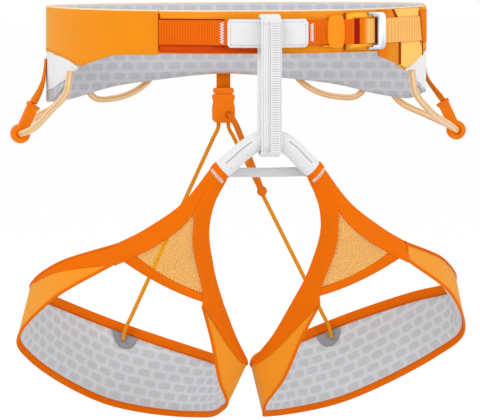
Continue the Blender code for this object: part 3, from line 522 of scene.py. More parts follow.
class HarnessColours(bpy.types.PropertyGroup):
    """Colours of cloth, cord, metal and plastic"""

    panel: colour_field("Belt panel", (0.86, 0.265, 0.005))
    leg: colour_field("Leg straps", (0.80, 0.15, 0.0005))
    leg_side: colour_field("Leg pads", (0.90, 0.30, 0.012))
    net: colour_field("Leg net", (0.96, 0.46, 0.012))
    web: colour_field("Load webbing", (0.80, 0.13, 0.001))
    tongue: colour_field("Front band", (0.86, 0.29, 0.018))
    tail: colour_field("Strap tail", (0.98, 0.47, 0.13))
    # The webbing down in the buckle's slot, painted dark as its shadow
    deep: colour_field("Webbing in a slot", (0.33, 0.008, 0.002))
    # Dark red painted shade: the strips along the webbing, the elastic and the belt's side
    facing: colour_field("Facing tape", (0.36, 0.035, 0.002))
    white: colour_field("White tape", (0.77, 0.77, 0.78))
    hip: colour_field("Hip panel", (0.79, 0.79, 0.80))
    # Pale orange painted highlight on the belt's right end, where it turns away
    side: colour_field("Side cover", (1.0, 0.58, 0.14))
    # The white tape in a darker grey: painted shade on the bridge tape
    bridge: colour_field("Bridge tape", (0.67, 0.67, 0.685))
    # One spacer mesh in two tones: the belt's darker tone is painted shade inside the belt, the legs' paler
    # tone is painted light on the pads
    grey: colour_field("Belt lining", (0.565, 0.585, 0.625))
    oval: colour_field("Belt lining ovals", (0.47, 0.50, 0.555))
    leg_grey: colour_field("Leg lining", (0.645, 0.68, 0.715))
    leg_oval: colour_field("Leg lining ovals", (0.55, 0.565, 0.59))
    patch: colour_field("Riser patch", (0.30, 0.31, 0.33))
    # Pale cord on the belt's top edges: painted highlight along the edge
    piping: colour_field("Edge piping", (0.97, 0.74, 0.46))
    tube: colour_field("Gear tube", (0.80, 0.58, 0.31))
    tube_line: colour_field("Gear tube lines", (0.65, 0.23, 0.045))
    cord: colour_field("Elastic cord", (0.95, 0.33, 0.005))
    plastic: colour_field("Moulded plastic", (0.87, 0.195, 0.0005))
    gold: colour_field("Buckle base", (0.66, 0.25, 0.02))
    silver: colour_field("Buckle frame", (0.58, 0.60, 0.63))


def sizes():
    return bpy.context.scene.harness_sizes


def tone_of(name):
    return getattr(bpy.context.scene.harness_colours, name)[:]


# Shader expressions


class Value:
    """A shader output that takes part in Python expressions."""

    def __init__(self, paint, output):
        self.paint = paint
        self.output = output

    def math(self, operation, *values):
        return self.paint.node("ShaderNodeMath", {"operation": operation}, dict(enumerate(values)))

    def __add__(self, other):
        return self.math("ADD", self, other)

    def __sub__(self, other):
        return self.math("SUBTRACT", self, other)

    def __rsub__(self, other):
        return self.math("SUBTRACT", other, self)

    def __mul__(self, other):
        return self.math("MULTIPLY", self, other)

    def __truediv__(self, other):
        return self.math("DIVIDE", self, other)

    def __pow__(self, other):
        return self.math("POWER", self, other)

    def __abs__(self):
        return self.math("ABSOLUTE", self)

    def sin(self):
        return self.math("SINE", self)

    def floor(self):
        return self.math("FLOOR", self)

    def wrap(self, low, high):
        return self.math("WRAP", self, high, low)

    def wave(self, pitch):
        """A sine that comes round once in each pitch."""
        return (self * (2 * math.pi / pitch)).sin()

    def ridges(self, pitch):
        """Round ridges with a groove at each pitch."""
        return abs((self * (math.pi / pitch)).sin())

    def over(self, edge, soft):
        """1 above the edge, 0 below it, with a soft step."""
        settings = {"interpolation_type": "SMOOTHSTEP"}
        values = {0: self, 1: edge - soft, 2: edge + soft}
        return self.paint.node("ShaderNodeMapRange", settings, values)


class Paint:
    """One material and the ways to add nodes to it."""

    def __init__(self, name, roughness, metallic=0.0, **constants):
        self.material = bpy.data.materials.new(name)
        self.material.use_nodes = True
        self.tree = self.material.node_tree
        self.shader = self.tree.nodes["Principled BSDF"]
        self.set("Roughness", roughness)
        self.set("Metallic", metallic)
        for socket, value in constants.items():
            self.set(socket.replace("_", " "), value)

    def set(self, socket, value):
        self.join(self.shader.inputs[socket], value)

    def join(self, socket, value):
        if isinstance(value, Value):
            self.tree.links.new(value.output, socket)
        elif hasattr(value, "__len__") and len(value) == 3 and len(socket.default_value) == 4:
            socket.default_value = (*value, 1)
        else:
            socket.default_value = value

    def node(self, kind, settings, values, output=0):
        made = self.tree.nodes.new(kind)
        for key, setting in settings.items():
            setattr(made, key, setting)
        for key, value in values.items():
            self.join(made.inputs[key], value)
        return Value(self, made.outputs[output])

    def surface(self):
        """Metres along and across the piece, from its UV map."""
        place = self.node("ShaderNodeUVMap", {"uv_map": "UVMap"}, {})
        parts = {"Vector": place}
        return [self.node("ShaderNodeSeparateXYZ", {}, parts, output=i) for i in (0, 1)]

    def noise(self, scale, detail=3.0):
        place = self.node("ShaderNodeTexCoord", {}, {}, output=3)
        return self.node("ShaderNodeTexNoise", {}, {"Vector": place, "Scale": scale, "Detail": detail})

    def mix(self, factor, first, second):
        settings = {"data_type": "RGBA"}
        return self.node("ShaderNodeMix", settings, {0: factor, 6: first, 7: second}, output=2)

    def tint(self, factor, tone, dark, bright):
        """A tone that runs from a darker to a brighter share of itself."""
        return self.mix(factor, shaded(tone, dark), shaded(tone, bright))

    def relief(self, height, distance, strength=1.0):
        values = {"Height": height, "Distance": distance, "Strength": strength}
        self.set("Normal", self.node("ShaderNodeBump", {}, values))


def shaded(tone, share):
    return tuple(min(1, part * share) for part in tone)


def cloth_paint(name, tone, pitch=0.0009, bloom=0.0):
    """A close plain weave with a little unevenness, and a bloom where it turns away."""
    rough = 0.78
    glow = tuple(part**0.3 for part in tone)
    sheen = {"Sheen_Weight": bloom, "Sheen_Roughness": 0.45, "Sheen_Tint": glow}
    paint = Paint(name, rough, Specular_IOR_Level=0.06, **sheen)
    along, across = paint.surface()
    weave = along.wave(pitch) * across.wave(pitch) * 0.5 + 0.5
    cloud = paint.noise(38.0)
    paint.set("Base Color", paint.tint(weave * 0.35 + cloud * 0.65, tone, 0.9, 1.07))
    paint.set("Roughness", cloud * 0.16 + (rough - 0.08))
    paint.relief(weave + cloud * 0.6, 0.00016)
    return paint.material


def webbing_paint(name, tone, rib=None, root=None, reach=(0.0, 0.0)):
    """Webbing with ribs across it and fine cords along it; the darker start tone covers its first length."""
    rough = 0.72
    cord = 0.0016
    turn = math.pi / (rib or sizes().rib)
    paint = Paint(name, rough, Specular_IOR_Level=0.08)
    along, across = paint.surface()
    sway = (along * turn).sin()
    cords = abs((across * (math.pi / cord) + sway * 0.5).sin())
    cloud = paint.noise(55.0)
    height = abs(sway) * 0.7 + cords * 0.3
    shade = height * 0.7 + cloud * 0.3
    woven = paint.tint(shade, tone, 0.62, 1.12)
    if root:
        woven = paint.mix(along.over(*reach), paint.tint(shade, tone_of(root), 0.62, 1.12), woven)
    paint.set("Base Color", woven)
    paint.set("Roughness", cloud * 0.2 + (rough - 0.1))
    paint.relief(height, 0.0004)
    return paint.material


def lining_paint(name, tone, deep):
    """Spacer mesh: rows of sunk pads, set half a cell over in every other row, and a fine knit."""
    paint = Paint(name, 0.88, Specular_IOR_Level=0.12)
    along, across = paint.surface()
    row = across / sizes().cell_height
    odd = (row * 0.5).floor() * 2 - row.floor()
    place = (along / sizes().cell_length + odd * 0.5).wrap(-0.5, 0.5)
    level = row.wrap(0.0, 1.0) - 0.5
    reach = abs(place / 0.37) ** 4.0 + abs(level / 0.33) ** 4.0
    oval = 1 - reach.over(1.0, 0.75)
    knit = along.wave(0.0015) * across.wave(0.0013) * 0.5 + 0.5
    cloud = paint.noise(30.0)
    base = paint.mix(oval, tone, tone_of(deep))
    paint.set("Base Color", paint.mix(knit * 0.1 + cloud * 0.1, base, shaded(tone, 0.55)))
    paint.relief(oval * -0.7 + knit * 0.25, 0.0008, 0.6)
    return paint.material


def tape_paint(name, tone):
    """Bright tubular tape with a fine herringbone."""
    paint = Paint(name, 0.75, Specular_IOR_Level=0.2)
    along, across = paint.surface()
    slant = abs(across.wrap(-0.003, 0.003))
    height = (along + slant).ridges(0.0014) * 0.5 + across.ridges(0.0012) * 0.5
    cloud = paint.noise(45.0)
    paint.set("Base Color", paint.tint(height * 0.6 + cloud * 0.4, tone, 0.84, 1.08))
    paint.relief(height, 0.00022)
    return paint.material


def cord_paint(name, tone, radius):
    """A braided sheath: crossing strands round the cord."""
    paint = Paint(name, 0.65, Specular_IOR_Level=0.18)
    along, around = paint.surface()
    right = (along * 1.1 + around * 2).wave(2 * radius)
    left = (along * 1.1 - around * 2).wave(2 * radius)
    braid = right * left * 0.5 + 0.5
    paint.set("Base Color", paint.tint(braid, tone, 0.62, 1.15))
    paint.relief(braid, radius * 0.22)
    return paint.material


def tube_paint(name, tone, lines):
    """A clear satin tube over a pale core, with five thin lines along it."""
    paint = Paint(name, 0.32, Coat_Weight=0.35, Coat_Roughness=0.25, Specular_IOR_Level=0.45)
    _, around = paint.surface()
    thin = around.ridges(0.0094 / 2.5) ** 14
    cloud = paint.noise(60.0)
    paint.set("Base Color", paint.mix(thin * 0.8 + cloud * 0.1, tone, tone_of(lines)))
    paint.set("Roughness", cloud * 0.2 + 0.24)
    paint.relief(thin * -1.0 + cloud * 0.3, 0.0002)
    return paint.material


def plastic_paint(name, tone, rough=0.4):
    """Moulded plastic with a faint sparked grain."""
    paint = Paint(name, rough, Specular_IOR_Level=0.14)
    grain = paint.noise(900.0, 2.0)
    cloud = paint.noise(70.0)
    paint.set("Base Color", paint.tint(cloud, tone, 0.88, 1.05))
    paint.set("Roughness", grain * 0.15 + cloud * 0.1 + (rough - 0.1))
    paint.relief(grain, 0.00008)
    return paint.material


def metal_paint(name, tone, rough):
    """Tumbled anodised metal with faint handling marks."""
    paint = Paint(name, rough, 1.0)
    cloud = paint.noise(140.0)
    fine = paint.noise(1500.0, 2.0)
    paint.set("Base Color", paint.tint(cloud, tone, 0.85, 1.06))
    paint.set("Roughness", cloud * 0.18 + fine * 0.1 + (rough - 0.12))
    paint.relief(fine, 0.00003)
    return paint.material


def thread_paint(name, tone):
    """Sewing thread with a fine twist."""
    paint = Paint(name, 0.65, Specular_IOR_Level=0.2)
    twist = paint.noise(1800.0, 1.0)
    paint.set("Base Color", paint.tint(twist, tone, 0.8, 1.1))
    paint.relief(twist, 0.00006)
    return paint.material


# Each finish: its recipe, its colour, the share of that colour, and the recipe's settings
FINISHES = {
    "panel": (cloth_paint, "panel", 1, {"bloom": 0.8}),
    "leg_side": (cloth_paint, "leg_side", 1, {"bloom": 0.8}),
    "leg": (cloth_paint, "leg", 1, {"pitch": 0.0011}),
    "net": (cloth_paint, "net", 1, {"pitch": 0.0011}),
    "hip": (cloth_paint, "hip", 1, {"pitch": 0.0013}),
    "tongue": (cloth_paint, "tongue", 1, {"pitch": 0.0012}),
    "patch": (cloth_paint, "patch", 1, {}),
    # Pale strips on the belt's right end: painted highlight
    "side": (cloth_paint, "side", 1, {}),
    # Pale top edges: painted highlight
    "piping": (cloth_paint, "piping", 1, {}),
    # Painted shade: dark strips along the webbing, the elastic and the side, and a lighter one under the
    # webbing
    "facing": (cloth_paint, "facing", 1, {}),
    "facing_low": (cloth_paint, "facing", 1.75, {}),
    # Near black: painted shadow by the buckle frame's bar
    "fold": (cloth_paint, "facing", 0.35, {}),
    "web": (webbing_paint, "web", 1, {}),
    # The webbing in the buckle's slot: painted shadow
    "deep": (webbing_paint, "deep", 1, {}),
    # The tail's first length in the darker plastic tone: painted shade where it turns down by the buckle
    # frame
    "tail": (webbing_paint, "tail", 1, {"rib": 0.0046, "root": "plastic", "reach": (0.0082, 0.0012)}),
    "keeper": (webbing_paint, "tongue", 1, {"rib": 0.0014, "root": "plastic", "reach": (0.012, 0.004)}),
    "elastic": (webbing_paint, "plastic", 1, {"rib": 0.0014}),
    # The same lining in two tones: painted shade in the belt and painted light on the legs
    "lining": (lining_paint, "grey", 1, {"deep": "oval"}),
    "leg_lining": (lining_paint, "leg_grey", 1, {"deep": "leg_oval"}),
    "tape": (tape_paint, "white", 1, {}),
    # Darker grey than the white tape: painted shade
    "bridge": (tape_paint, "bridge", 1, {}),
    "cord": (cord_paint, "cord", 1, {"radius": RISER_RADIUS}),
    "pull": (cord_paint, "plastic", 1, {"radius": 0.0014}),
    "tube": (tube_paint, "tube", 1, {"lines": "tube_line"}),
    "plastic": (plastic_paint, "plastic", 1, {}),
    "rubber": (plastic_paint, "panel", 1, {"rough": 0.55}),
    "gold": (metal_paint, "gold", 1, {"rough": 0.32}),
    "silver": (metal_paint, "silver", 1, {"rough": 0.28}),
    "thread": (thread_paint, "panel", 0.85, {}),
    "white_thread": (thread_paint, "white", 0.98, {}),
    "grey_thread": (thread_paint, "white", 0.5, {}),
    "leg_thread": (thread_paint, "leg", 0.8, {}),
}


def painted(piece, finish):
    name = "harness_" + finish
    found = bpy.data.materials.get(name)
    if not found:
        recipe, tone, share, settings = FINISHES[finish]
        found = recipe(name, shaded(tone_of(tone), share), **settings)
    piece.data.materials.clear()
    piece.data.materials.append(found)
    return piece


# Curves and places


def lengths_along(path):
    """How far along a path each of its points lies."""
    return np.concatenate([[0], np.cumsum(np.linalg.norm(np.diff(path, axis=0), axis=1))])


def sampled(places, run, rows):
    """Points at places along a run, between the rows."""
    return np.stack([np.interp(places, run, rows[:, k]) for k in range(3)], -1)


def through(rows, count):
    """Points on a smooth curve through the rows: a count of even ones, or one at each share."""
    rows = np.asarray(rows, float)
    knots = lengths_along(rows)
    slopes = np.gradient(rows, knots, axis=0)
    at = (count if hasattr(count, "__len__") else np.linspace(0, 1, count)) * knots[-1]
    left = np.clip(np.searchsorted(knots, at, "right") - 1, 0, len(knots) - 2)
    span = (knots[left + 1] - knots[left])[:, None]
    f = (at - knots[left])[:, None] / span
    start = (1 + 2 * f) * (1 - f) ** 2 * rows[left] + f * (1 - f) ** 2 * span * slopes[left]
    end = f * f * (3 - 2 * f) * rows[left + 1] + f * f * (f - 1) * span * slopes[left + 1]
    return start + end


def knot_of(rows, index):
    """The share of a curve's length at which one of its rows lies."""
    knots = lengths_along(np.asarray(rows, float))
    return knots[index] / knots[-1]


def steps(knots, step):
    """The knots with evenly spaced values between them."""
    found = [knots[0]]
    for last in knots[1:]:
        count = max(1, math.ceil(abs(last - found[-1]) / step))
        found += list(np.linspace(found[-1], last, count + 1)[1:])
    return np.array(found)


def unit(vectors):
    return vectors / np.maximum(np.linalg.norm(vectors, axis=-1, keepdims=True), 1e-12)


def waist(turns, out, z):
    """Points on the belt and the outward directions there."""
    turn = np.radians(np.asarray(turns, float))
    depth = np.where(np.cos(turn) > 0, FRONT_DEPTH, BACK_DEPTH)
    zero = np.zeros_like(turn)
    normal = unit(np.stack([np.sin(turn) / HALF_WIDTH, -np.cos(turn) / depth, zero], -1))
    place = np.stack([HALF_WIDTH * np.sin(turn), WIDEST_Y - depth * np.cos(turn), zero + z], -1)
    return place + normal * (zero + out)[:, None], normal


def spread(turns):
    """Degrees from the front, negative on the left."""
    return (np.asarray(turns, float) + 180) % 360 - 180


def edge_height(turns, edges, **beyond):
    """Height of an edge that each side gives as rows of degrees and heights."""
    angle = spread(turns)
    heights = np.empty_like(angle)
    for side, rows in edges.items():
        knots, levels = zip(*rows)
        here = (angle >= 0) == (side > 0)
        heights[here] = np.interp(np.abs(angle[here]), knots, levels, **beyond)
    return heights


def panel_edge(turns):
    return edge_height(turns, PANEL_EDGE)


def lining_hem(turns):
    return edge_height(turns, LINING_HEM)


def seam_line(turns):
    """The panel's edge, lifted over the hip panels."""
    return panel_edge(turns) + edge_height(turns, HIP_RISE, left=0, right=0)


def eased(edge, turns, window=4.0):
    """The edge's height with its corners rounded over a few degrees."""
    around = np.linspace(-window, window, 9)
    return np.mean([edge(np.asarray(turns) + step) for step in around], axis=0)


def lower_edge(turns):
    return eased(panel_edge, turns)


def lining_edge(turns):
    return eased(lining_hem, turns, 5.0)


def hip_seam(turns):
    return np.maximum(eased(seam_line, turns, 2.0), lower_edge(turns))


def sleeve_out(turns):
    """How far the middle of the tie-in sleeve stands off the belt."""
    return STANDOFF * np.cos(np.radians(SLEEVE_BOW * turns / SLEEVE_ANGLE))


def web_lift(turns):
    """How far the load webbing's back lies off the belt."""
    turns = np.asarray(turns, float)
    lift = np.interp(turns, *zip(*(WEB_LEFT + WEB_RIGHT)))
    return np.where(np.abs(turns) <= SLEEVE_ANGLE, sleeve_out(turns) - WEB_THICKNESS / 2, lift)


def tail_lift(turns):
    return np.interp(turns, *zip(*TAIL_LIFT))


def joint_place(name):
    """Where a joint of the frame lies."""
    return np.array(next(joint["pos_m"] for joint in frame["joints"] if joint["name"] == name))


def hanging_point():
    return joint_place("leg_loops_swing")


def leg_rows(rows, shares, side):
    return hanging_point() + through(rows, shares) * (-side, 1, 1)


def outward(high, low, side):
    """Directions away from the leg between two edges."""
    return unit(np.cross(np.gradient((high + low) / 2, axis=0), high - low)) * side


def pad_rows(shares, side):
    """The leg pad's upper and lower edge and its outward directions."""
    both = through([(*upper, *lower) for upper, lower in LEG_PAD], shares)
    top, low = (hanging_point() + part * (-side, 1, 1) for part in (both[:, :3], both[:, 3:]))
    return top, low, outward(top, low, side)


def inner_edge(shares, side):
    """The inner strap's edge towards the net, drawn in beside it."""
    edge, far = (leg_rows(rows, shares, side) for rows in (INNER_LOW, INNER_TOP))
    past = shares - knot_of(INNER_LOW, WINDOW_ROW) + TRIM_START
    drawn = np.sin(np.clip(past / TRIM_FADE, 0, 1) * math.pi / 2)
    drawn -= (1 - PAD_TRIM / INNER_TRIM) * np.clip((shares - 1 + TRIM_FADE) / TRIM_FADE, 0, 1) ** 2
    return edge + unit(far - edge) * (INNER_TRIM * drawn)[:, None]


def within(rim, spots):
    """Which spots lie inside a closed outline."""
    found = np.zeros(len(spots), bool)
    x, y = spots[:, 0], spots[:, 1]
    for (x0, y0), (x1, y1) in zip(rim, np.roll(rim, -1, axis=0)):
        crosses = (y0 > y) != (y1 > y)
        with np.errstate(divide="ignore", invalid="ignore"):
            found ^= crosses & (x < (x1 - x0) * (y - y0) / (y1 - y0) + x0)
    return found


# Meshes


def linked(name, mesh):
    """A new object for the mesh, made the active one."""
    piece = bpy.data.objects.new(name, mesh)
    mesh.name = name
    bpy.context.scene.collection.objects.link(piece)
    bpy.ops.object.select_all(action="DESELECT")
    piece.select_set(True)
    bpy.context.view_layer.objects.active = piece
    return piece


def edit_all():
    bpy.ops.object.mode_set(mode="EDIT")
    bpy.ops.mesh.select_all(action="SELECT")


def face_outward():
    """Ends an edit with every face turned outward."""
    bpy.ops.mesh.select_all(action="SELECT")
    bpy.ops.mesh.normals_make_consistent(inside=False)
    bpy.ops.object.mode_set(mode="OBJECT")


def smooth_by(angle):
    bpy.ops.object.shade_smooth_by_angle(angle=math.radians(angle))


def grid_uv(run, across):
    """Metres along and across for each point of a grid."""
    return np.stack(np.broadcast_arrays(run[:, None], across), -1)


def grid_piece(name, points, uv, caps=True, smooth=SMOOTH):
    """A grid laid through the points, with joined edges merged and open ends filled."""
    columns, rows = (count - 1 for count in points.shape[:2])
    bpy.ops.object.select_all(action="DESELECT")
    bpy.ops.mesh.primitive_grid_add(x_subdivisions=columns, y_subdivisions=rows, size=1)
    piece = bpy.context.object
    piece.name = name
    mesh = piece.data
    mesh.name = name
    mesh.vertices.foreach_set("co", np.ascontiguousarray(points.transpose(1, 0, 2)).ravel())
    index = np.empty(len(mesh.loops), int)
    mesh.loops.foreach_get("vertex_index", index)
    flat = np.ascontiguousarray(uv.transpose(1, 0, 2)).reshape(-1, 2)
    mesh.uv_layers[0].data.foreach_set("uv", flat[index].ravel())
    mesh.update()
    bpy.ops.object.mode_set(mode="EDIT")
    bpy.ops.mesh.select_mode(type="EDGE")
    bpy.ops.mesh.select_all(action="SELECT")
    bpy.ops.mesh.remove_doubles(threshold=MERGE)
    if caps:
        bpy.ops.mesh.select_all(action="DESELECT")
        bpy.ops.mesh.select_non_manifold()
        bpy.ops.mesh.fill_holes(sides=0)
    face_outward()
    smooth_by(smooth)
    return piece


def flat_section(thickness, width, base=0.0, rows=2):
    """Across a strap and off its base: two flat faces with round edges."""
    half = thickness / 2
    share = min(half / width, 0.45)
    faces = np.linspace(share, 1 - share, rows + 1)
    bend = np.radians([60, 30, 0, -30, -60])
    outer = [(v, base + thickness) for v in faces]
    right = [(1 - share + share * math.cos(a), base + half + half * math.sin(a)) for a in bend]
    inner = [(v, base) for v in faces[::-1]]
    left = [(share - share * math.cos(a), base + half + half * math.sin(a)) for a in bend[::-1]]
    return np.array(outer + right + inner + left)


def pad_crown(share):
    """How full a pad is at a share of its width."""
    return np.sqrt(1 - np.abs(2 * share - 1) ** PAD_SQUARE)


def pad_section(inner, outer, rows=14):
    """Across a padded lining: flat where it lies on its shell, crowned on the wearer's side."""
    places = (1 - np.cos(np.linspace(0, math.pi, rows))) / 2
    face = outer - PAD_EDGE - (outer - inner - PAD_EDGE) * pad_crown(places)
    return np.array([(0, outer), (1, outer)] + list(zip(places, face))[::-1])


def ribbon(name, low, high, normal, section, closed=False, swell=1.0, hang=0.0):
    """A strap between two edges; the section gives shares of its width and distances along its normals."""
    low, high, normal = (np.asarray(rows, float) for rows in (low, high, normal))
    normal = normal * np.broadcast_to(swell, len(normal))[:, None]
    if closed:
        low, high, normal = (np.concatenate([rows, rows[:1]]) for rows in (low, high, normal))
    section = np.concatenate([section, section[:1]])
    share, off = section.T[..., None]
    points = low[:, None] + share * (high - low)[:, None] + off * normal[:, None]
    width = np.linalg.norm(high - low, axis=1)
    uv = grid_uv(lengths_along((low + high) / 2), (share[:, 0] - hang) * width[:, None])
    return grid_piece(name, points, uv, caps=not closed)


def belt_ribbon(name, turns, low, high, section, hang=0.0, lift=0.0):
    """A strap that lies on the belt, or lifted off it, between two heights."""
    bottom, normal = waist(turns, lift, low)
    top, _ = waist(turns, lift, high)
    return ribbon(name, bottom, top, normal, section, hang=hang)


def oval_tube(name, path, first, second, sides, run, radius):
    """A tube round a path, with its two half axes at each point; run and radius scale its weave."""
    turn = np.linspace(0, 2 * math.pi, sides + 1)
    points = path[:, None] + np.cos(turn)[:, None] * first[:, None] + np.sin(turn)[:, None] * second[:, None]
    points[:, -1] = points[:, 0]
    return grid_piece(name, points, grid_uv(run, turn * radius), smooth=SMOOTH_ROUND)


def frames(path):
    """Two directions across a path at each point, turning as little as possible."""
    way = unit(np.gradient(path, axis=0))
    side = np.cross(way[0], (0, 0, 1) if abs(way[0][2]) < 0.9 else (1, 0, 0))
    sides = []
    for step in way:
        side = unit(side - step * (side @ step))
        sides.append(side)
    sides = np.array(sides)
    return sides, np.cross(way, sides)


def tube(name, path, radius, sides=14):
    path = np.asarray(path, float)
    radius = np.broadcast_to(radius, len(path))
    across, up = (axis * radius[:, None] for axis in frames(path))
    return oval_tube(name, path, across, up, sides, lengths_along(path), float(radius.mean()))


def stitch_run(path, normal, stitch, pitch):
    """Middles, directions and normals of stitches along a path."""
    path = np.asarray(path, float)
    run = lengths_along(path)
    places = np.arange(stitch / 2, run[-1] - stitch / 2, pitch)
    rows = (path, np.gradient(path, axis=0), np.broadcast_to(normal, path.shape))
    middle, way, out = (sampled(places, run, row) for row in rows)
    return middle, unit(way), unit(out)


def seam_run(path, normal):
    return stitch_run(path, normal, sizes().stitch, sizes().pitch)


def bar_tack(middle, across, slant, normal):
    """Middles, directions and normals of a bar tack's stitches, which lean to and fro."""
    lean = np.where(np.arange(len(middle)) % 2, 1, -1)[:, None]
    return middle, unit(across + lean * slant), np.broadcast_to(normal, middle.shape)


def stitches(name, runs, stitch, radius):
    """One mesh of sewn stitches, each a short bead sunk half into the cloth."""
    turn = np.arange(BEAD_SIDES) * 2 * math.pi / BEAD_SIDES
    ring = np.stack([0 * turn, radius * np.cos(turn), radius * np.sin(turn)], -1)
    bead = np.concatenate([(x * stitch, 0, 0) + share * ring for x, share in BEAD_RINGS])
    sides = [(i, (i + 1) % BEAD_SIDES) for i in range(BEAD_SIDES)]
    faces = [list(range(BEAD_SIDES))[::-1], list(range(len(bead) - BEAD_SIDES, len(bead)))]
    for first in range(0, len(bead) - BEAD_SIDES, BEAD_SIDES):
        last = first + BEAD_SIDES
        faces += [[first + i, first + j, last + j, last + i] for i, j in sides]
    verts = []
    for middle, way, normal in runs:
        axes = np.stack([way, np.cross(normal, way), normal], 1)
        verts.append((middle[:, None] + np.einsum("kc,ncd->nkd", bead, axes)).reshape(-1, 3))
    verts = np.concatenate(verts)
    every = [[i + first for i in face] for first in range(0, len(verts), len(bead)) for face in faces]
    mesh = bpy.data.meshes.new(name)
    mesh.from_pydata(verts.tolist(), [], every)
    piece = linked(name, mesh)
    edit_all()
    face_outward()
    smooth_by(SMOOTH_ROUND)
    return piece


def applied(piece, kind, **settings):
    """Adds a modifier to the active piece and applies it."""
    modifier = piece.modifiers.new(kind.title(), kind)
    for key, value in settings.items():
        setattr(modifier, key, value)
    bpy.ops.object.modifier_apply(modifier=modifier.name)


def softened(piece, width, segments=2, smooth=SMOOTH_HARD):
    """Eases a piece's sharp edges."""
    limit = math.radians(SMOOTH_HARD)
    applied(piece, "BEVEL", width=width, segments=segments, limit_method="ANGLE", angle_limit=limit)
    smooth_by(smooth)
    return piece


def refined(node, name, width, segments=2, smooth=SMOOTH_HARD):
    """A copy of a CAD node with its edges eased."""
    piece = linked(name, frame["nodes"][node].data.copy())
    edit_all()
    bpy.ops.mesh.remove_doubles(threshold=MERGE)
    bpy.ops.mesh.dissolve_limited(angle_limit=math.radians(1))
    bpy.ops.object.mode_set(mode="OBJECT")
    return softened(piece, width, segments, smooth)


def place(piece, finish, slot, body, *nodes):
    """Paints a finished piece, ties it to its body and hides the solids it stands for."""
    painted(piece, finish)
    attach(piece, body)
    if nodes:
        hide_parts(*nodes)
    return piece


# Operators


class HARNESS_OT_belt(bpy.types.Operator):
    """Belt panel, hip panels, padded lining and front tongue"""

    bl_idname = "harness.belt"
    bl_label = "Waist belt"

    def execute(self, context):
        turns = steps([WING_RIGHT, 360 + WING_LEFT], BELT_STEP)
        face = -SHELL - GAP
        section = pad_section(face - LINING, face)
        lining = belt_ribbon("waist_lining", turns, lining_edge(turns), BELT_TOP, section, 1.0)
        place(lining, "lining", "grey_lining", "waist_belt", "belt_lining")
        bottom, seam = lower_edge(turns), hip_seam(turns)
        shell_low = np.where(seam > bottom + HIP_LAP, seam + HIP_LAP / 2, bottom)
        section = flat_section(SHELL, PANEL_WIDTH, -SHELL, 4)
        shell = belt_ribbon("waist_panel", turns, shell_low, BELT_TOP, section)
        place(shell, "panel", "orange_webbing", "waist_belt", "belt_shell")
        runs = [self.hip(name, side) for name, side in SIDES]
        seams = stitches("waist_seams", runs, sizes().stitch, sizes().thread)
        place(seams, "thread", "orange_webbing", "waist_belt")
        # The pale cord along the top edge is a painted highlight
        self.piping("waist_edge_top", turns, BELT_TOP)
        for name, ends in WING_PIPING.items():
            here = steps(ends, BELT_STEP)
            self.piping(f"waist_edge_{name}", here, lower_edge(here), "panel")
        self.tongue()
        return {"FINISHED"}

    def hip(self, name, side):
        """One hip panel and the roll of lining under it; gives the stitches of the seam above."""
        past = (HIP_SEAM[side][0][0], HIP_SEAM[side][-1][0])
        here = steps(sorted(side * (FLARES[side] + step) % 360 for step in past), BELT_STEP)
        seam = hip_seam(here)
        low = np.minimum(self.hip_hem(here, side), seam - HIP_LAP)
        panel = belt_ribbon(f"hip_wing_{name}", here, low, seam, flat_section(SHELL, HIP_WIDTH, -SHELL, 3))
        place(panel, "hip", "white_fabric", "waist_belt", f"hip_panel_{name}")
        past = np.abs(spread(here)) - FLARES[side]
        under = here[(past > ROLL_SPAN[0]) & (past < ROLL_SPAN[1])]
        edge = lining_edge(under)
        fold = np.maximum(self.hip_hem(under, side) - GAP, edge + ROLL_LEAST)
        roll = belt_ribbon(f"hip_roll_{name}", under, edge, fold, flat_section(SHELL, ROLL_WIDTH, -SHELL))
        place(roll, "lining", "grey_lining", "waist_belt")
        return seam_run(*waist(here, SKIN, seam + SEAM_RISE))

    def hip_hem(self, turns, side):
        past = np.abs(spread(turns)) - FLARES[side]
        return lower_edge(turns) + np.interp(past, *zip(*HIP_HEM))

    def tongue(self):
        """Front band with its piped edges; the pale cord on its top edge is a painted highlight."""
        turns = steps([WING_LEFT + TONGUE_INSET, WING_RIGHT - TONGUE_INSET], BELT_STEP)
        section = flat_section(TONGUE, BELT_TOP - TONGUE_BOTTOM, -TONGUE, 4)
        band = belt_ribbon("front_band", turns, TONGUE_BOTTOM, BELT_TOP, section)
        place(band, "tongue", "red_webbing", "waist_belt", "front_tongue")
        self.piping("front_edge_top", turns, BELT_TOP)
        self.piping("front_edge_low_left", turns[turns < 1], TONGUE_BOTTOM, "leg")
        self.piping("front_edge_low_right", turns[turns > -1], TONGUE_BOTTOM, "panel")

    def piping(self, name, turns, height, finish="piping"):
        """A thin cord sewn along an edge of the belt; in its default pale colour it is a painted highlight.
        """
        path, _ = waist(turns, -SHELL / 2, height)
        place(tube(name, path, PIPING_RADIUS, 8), finish, "orange_webbing", "waist_belt")


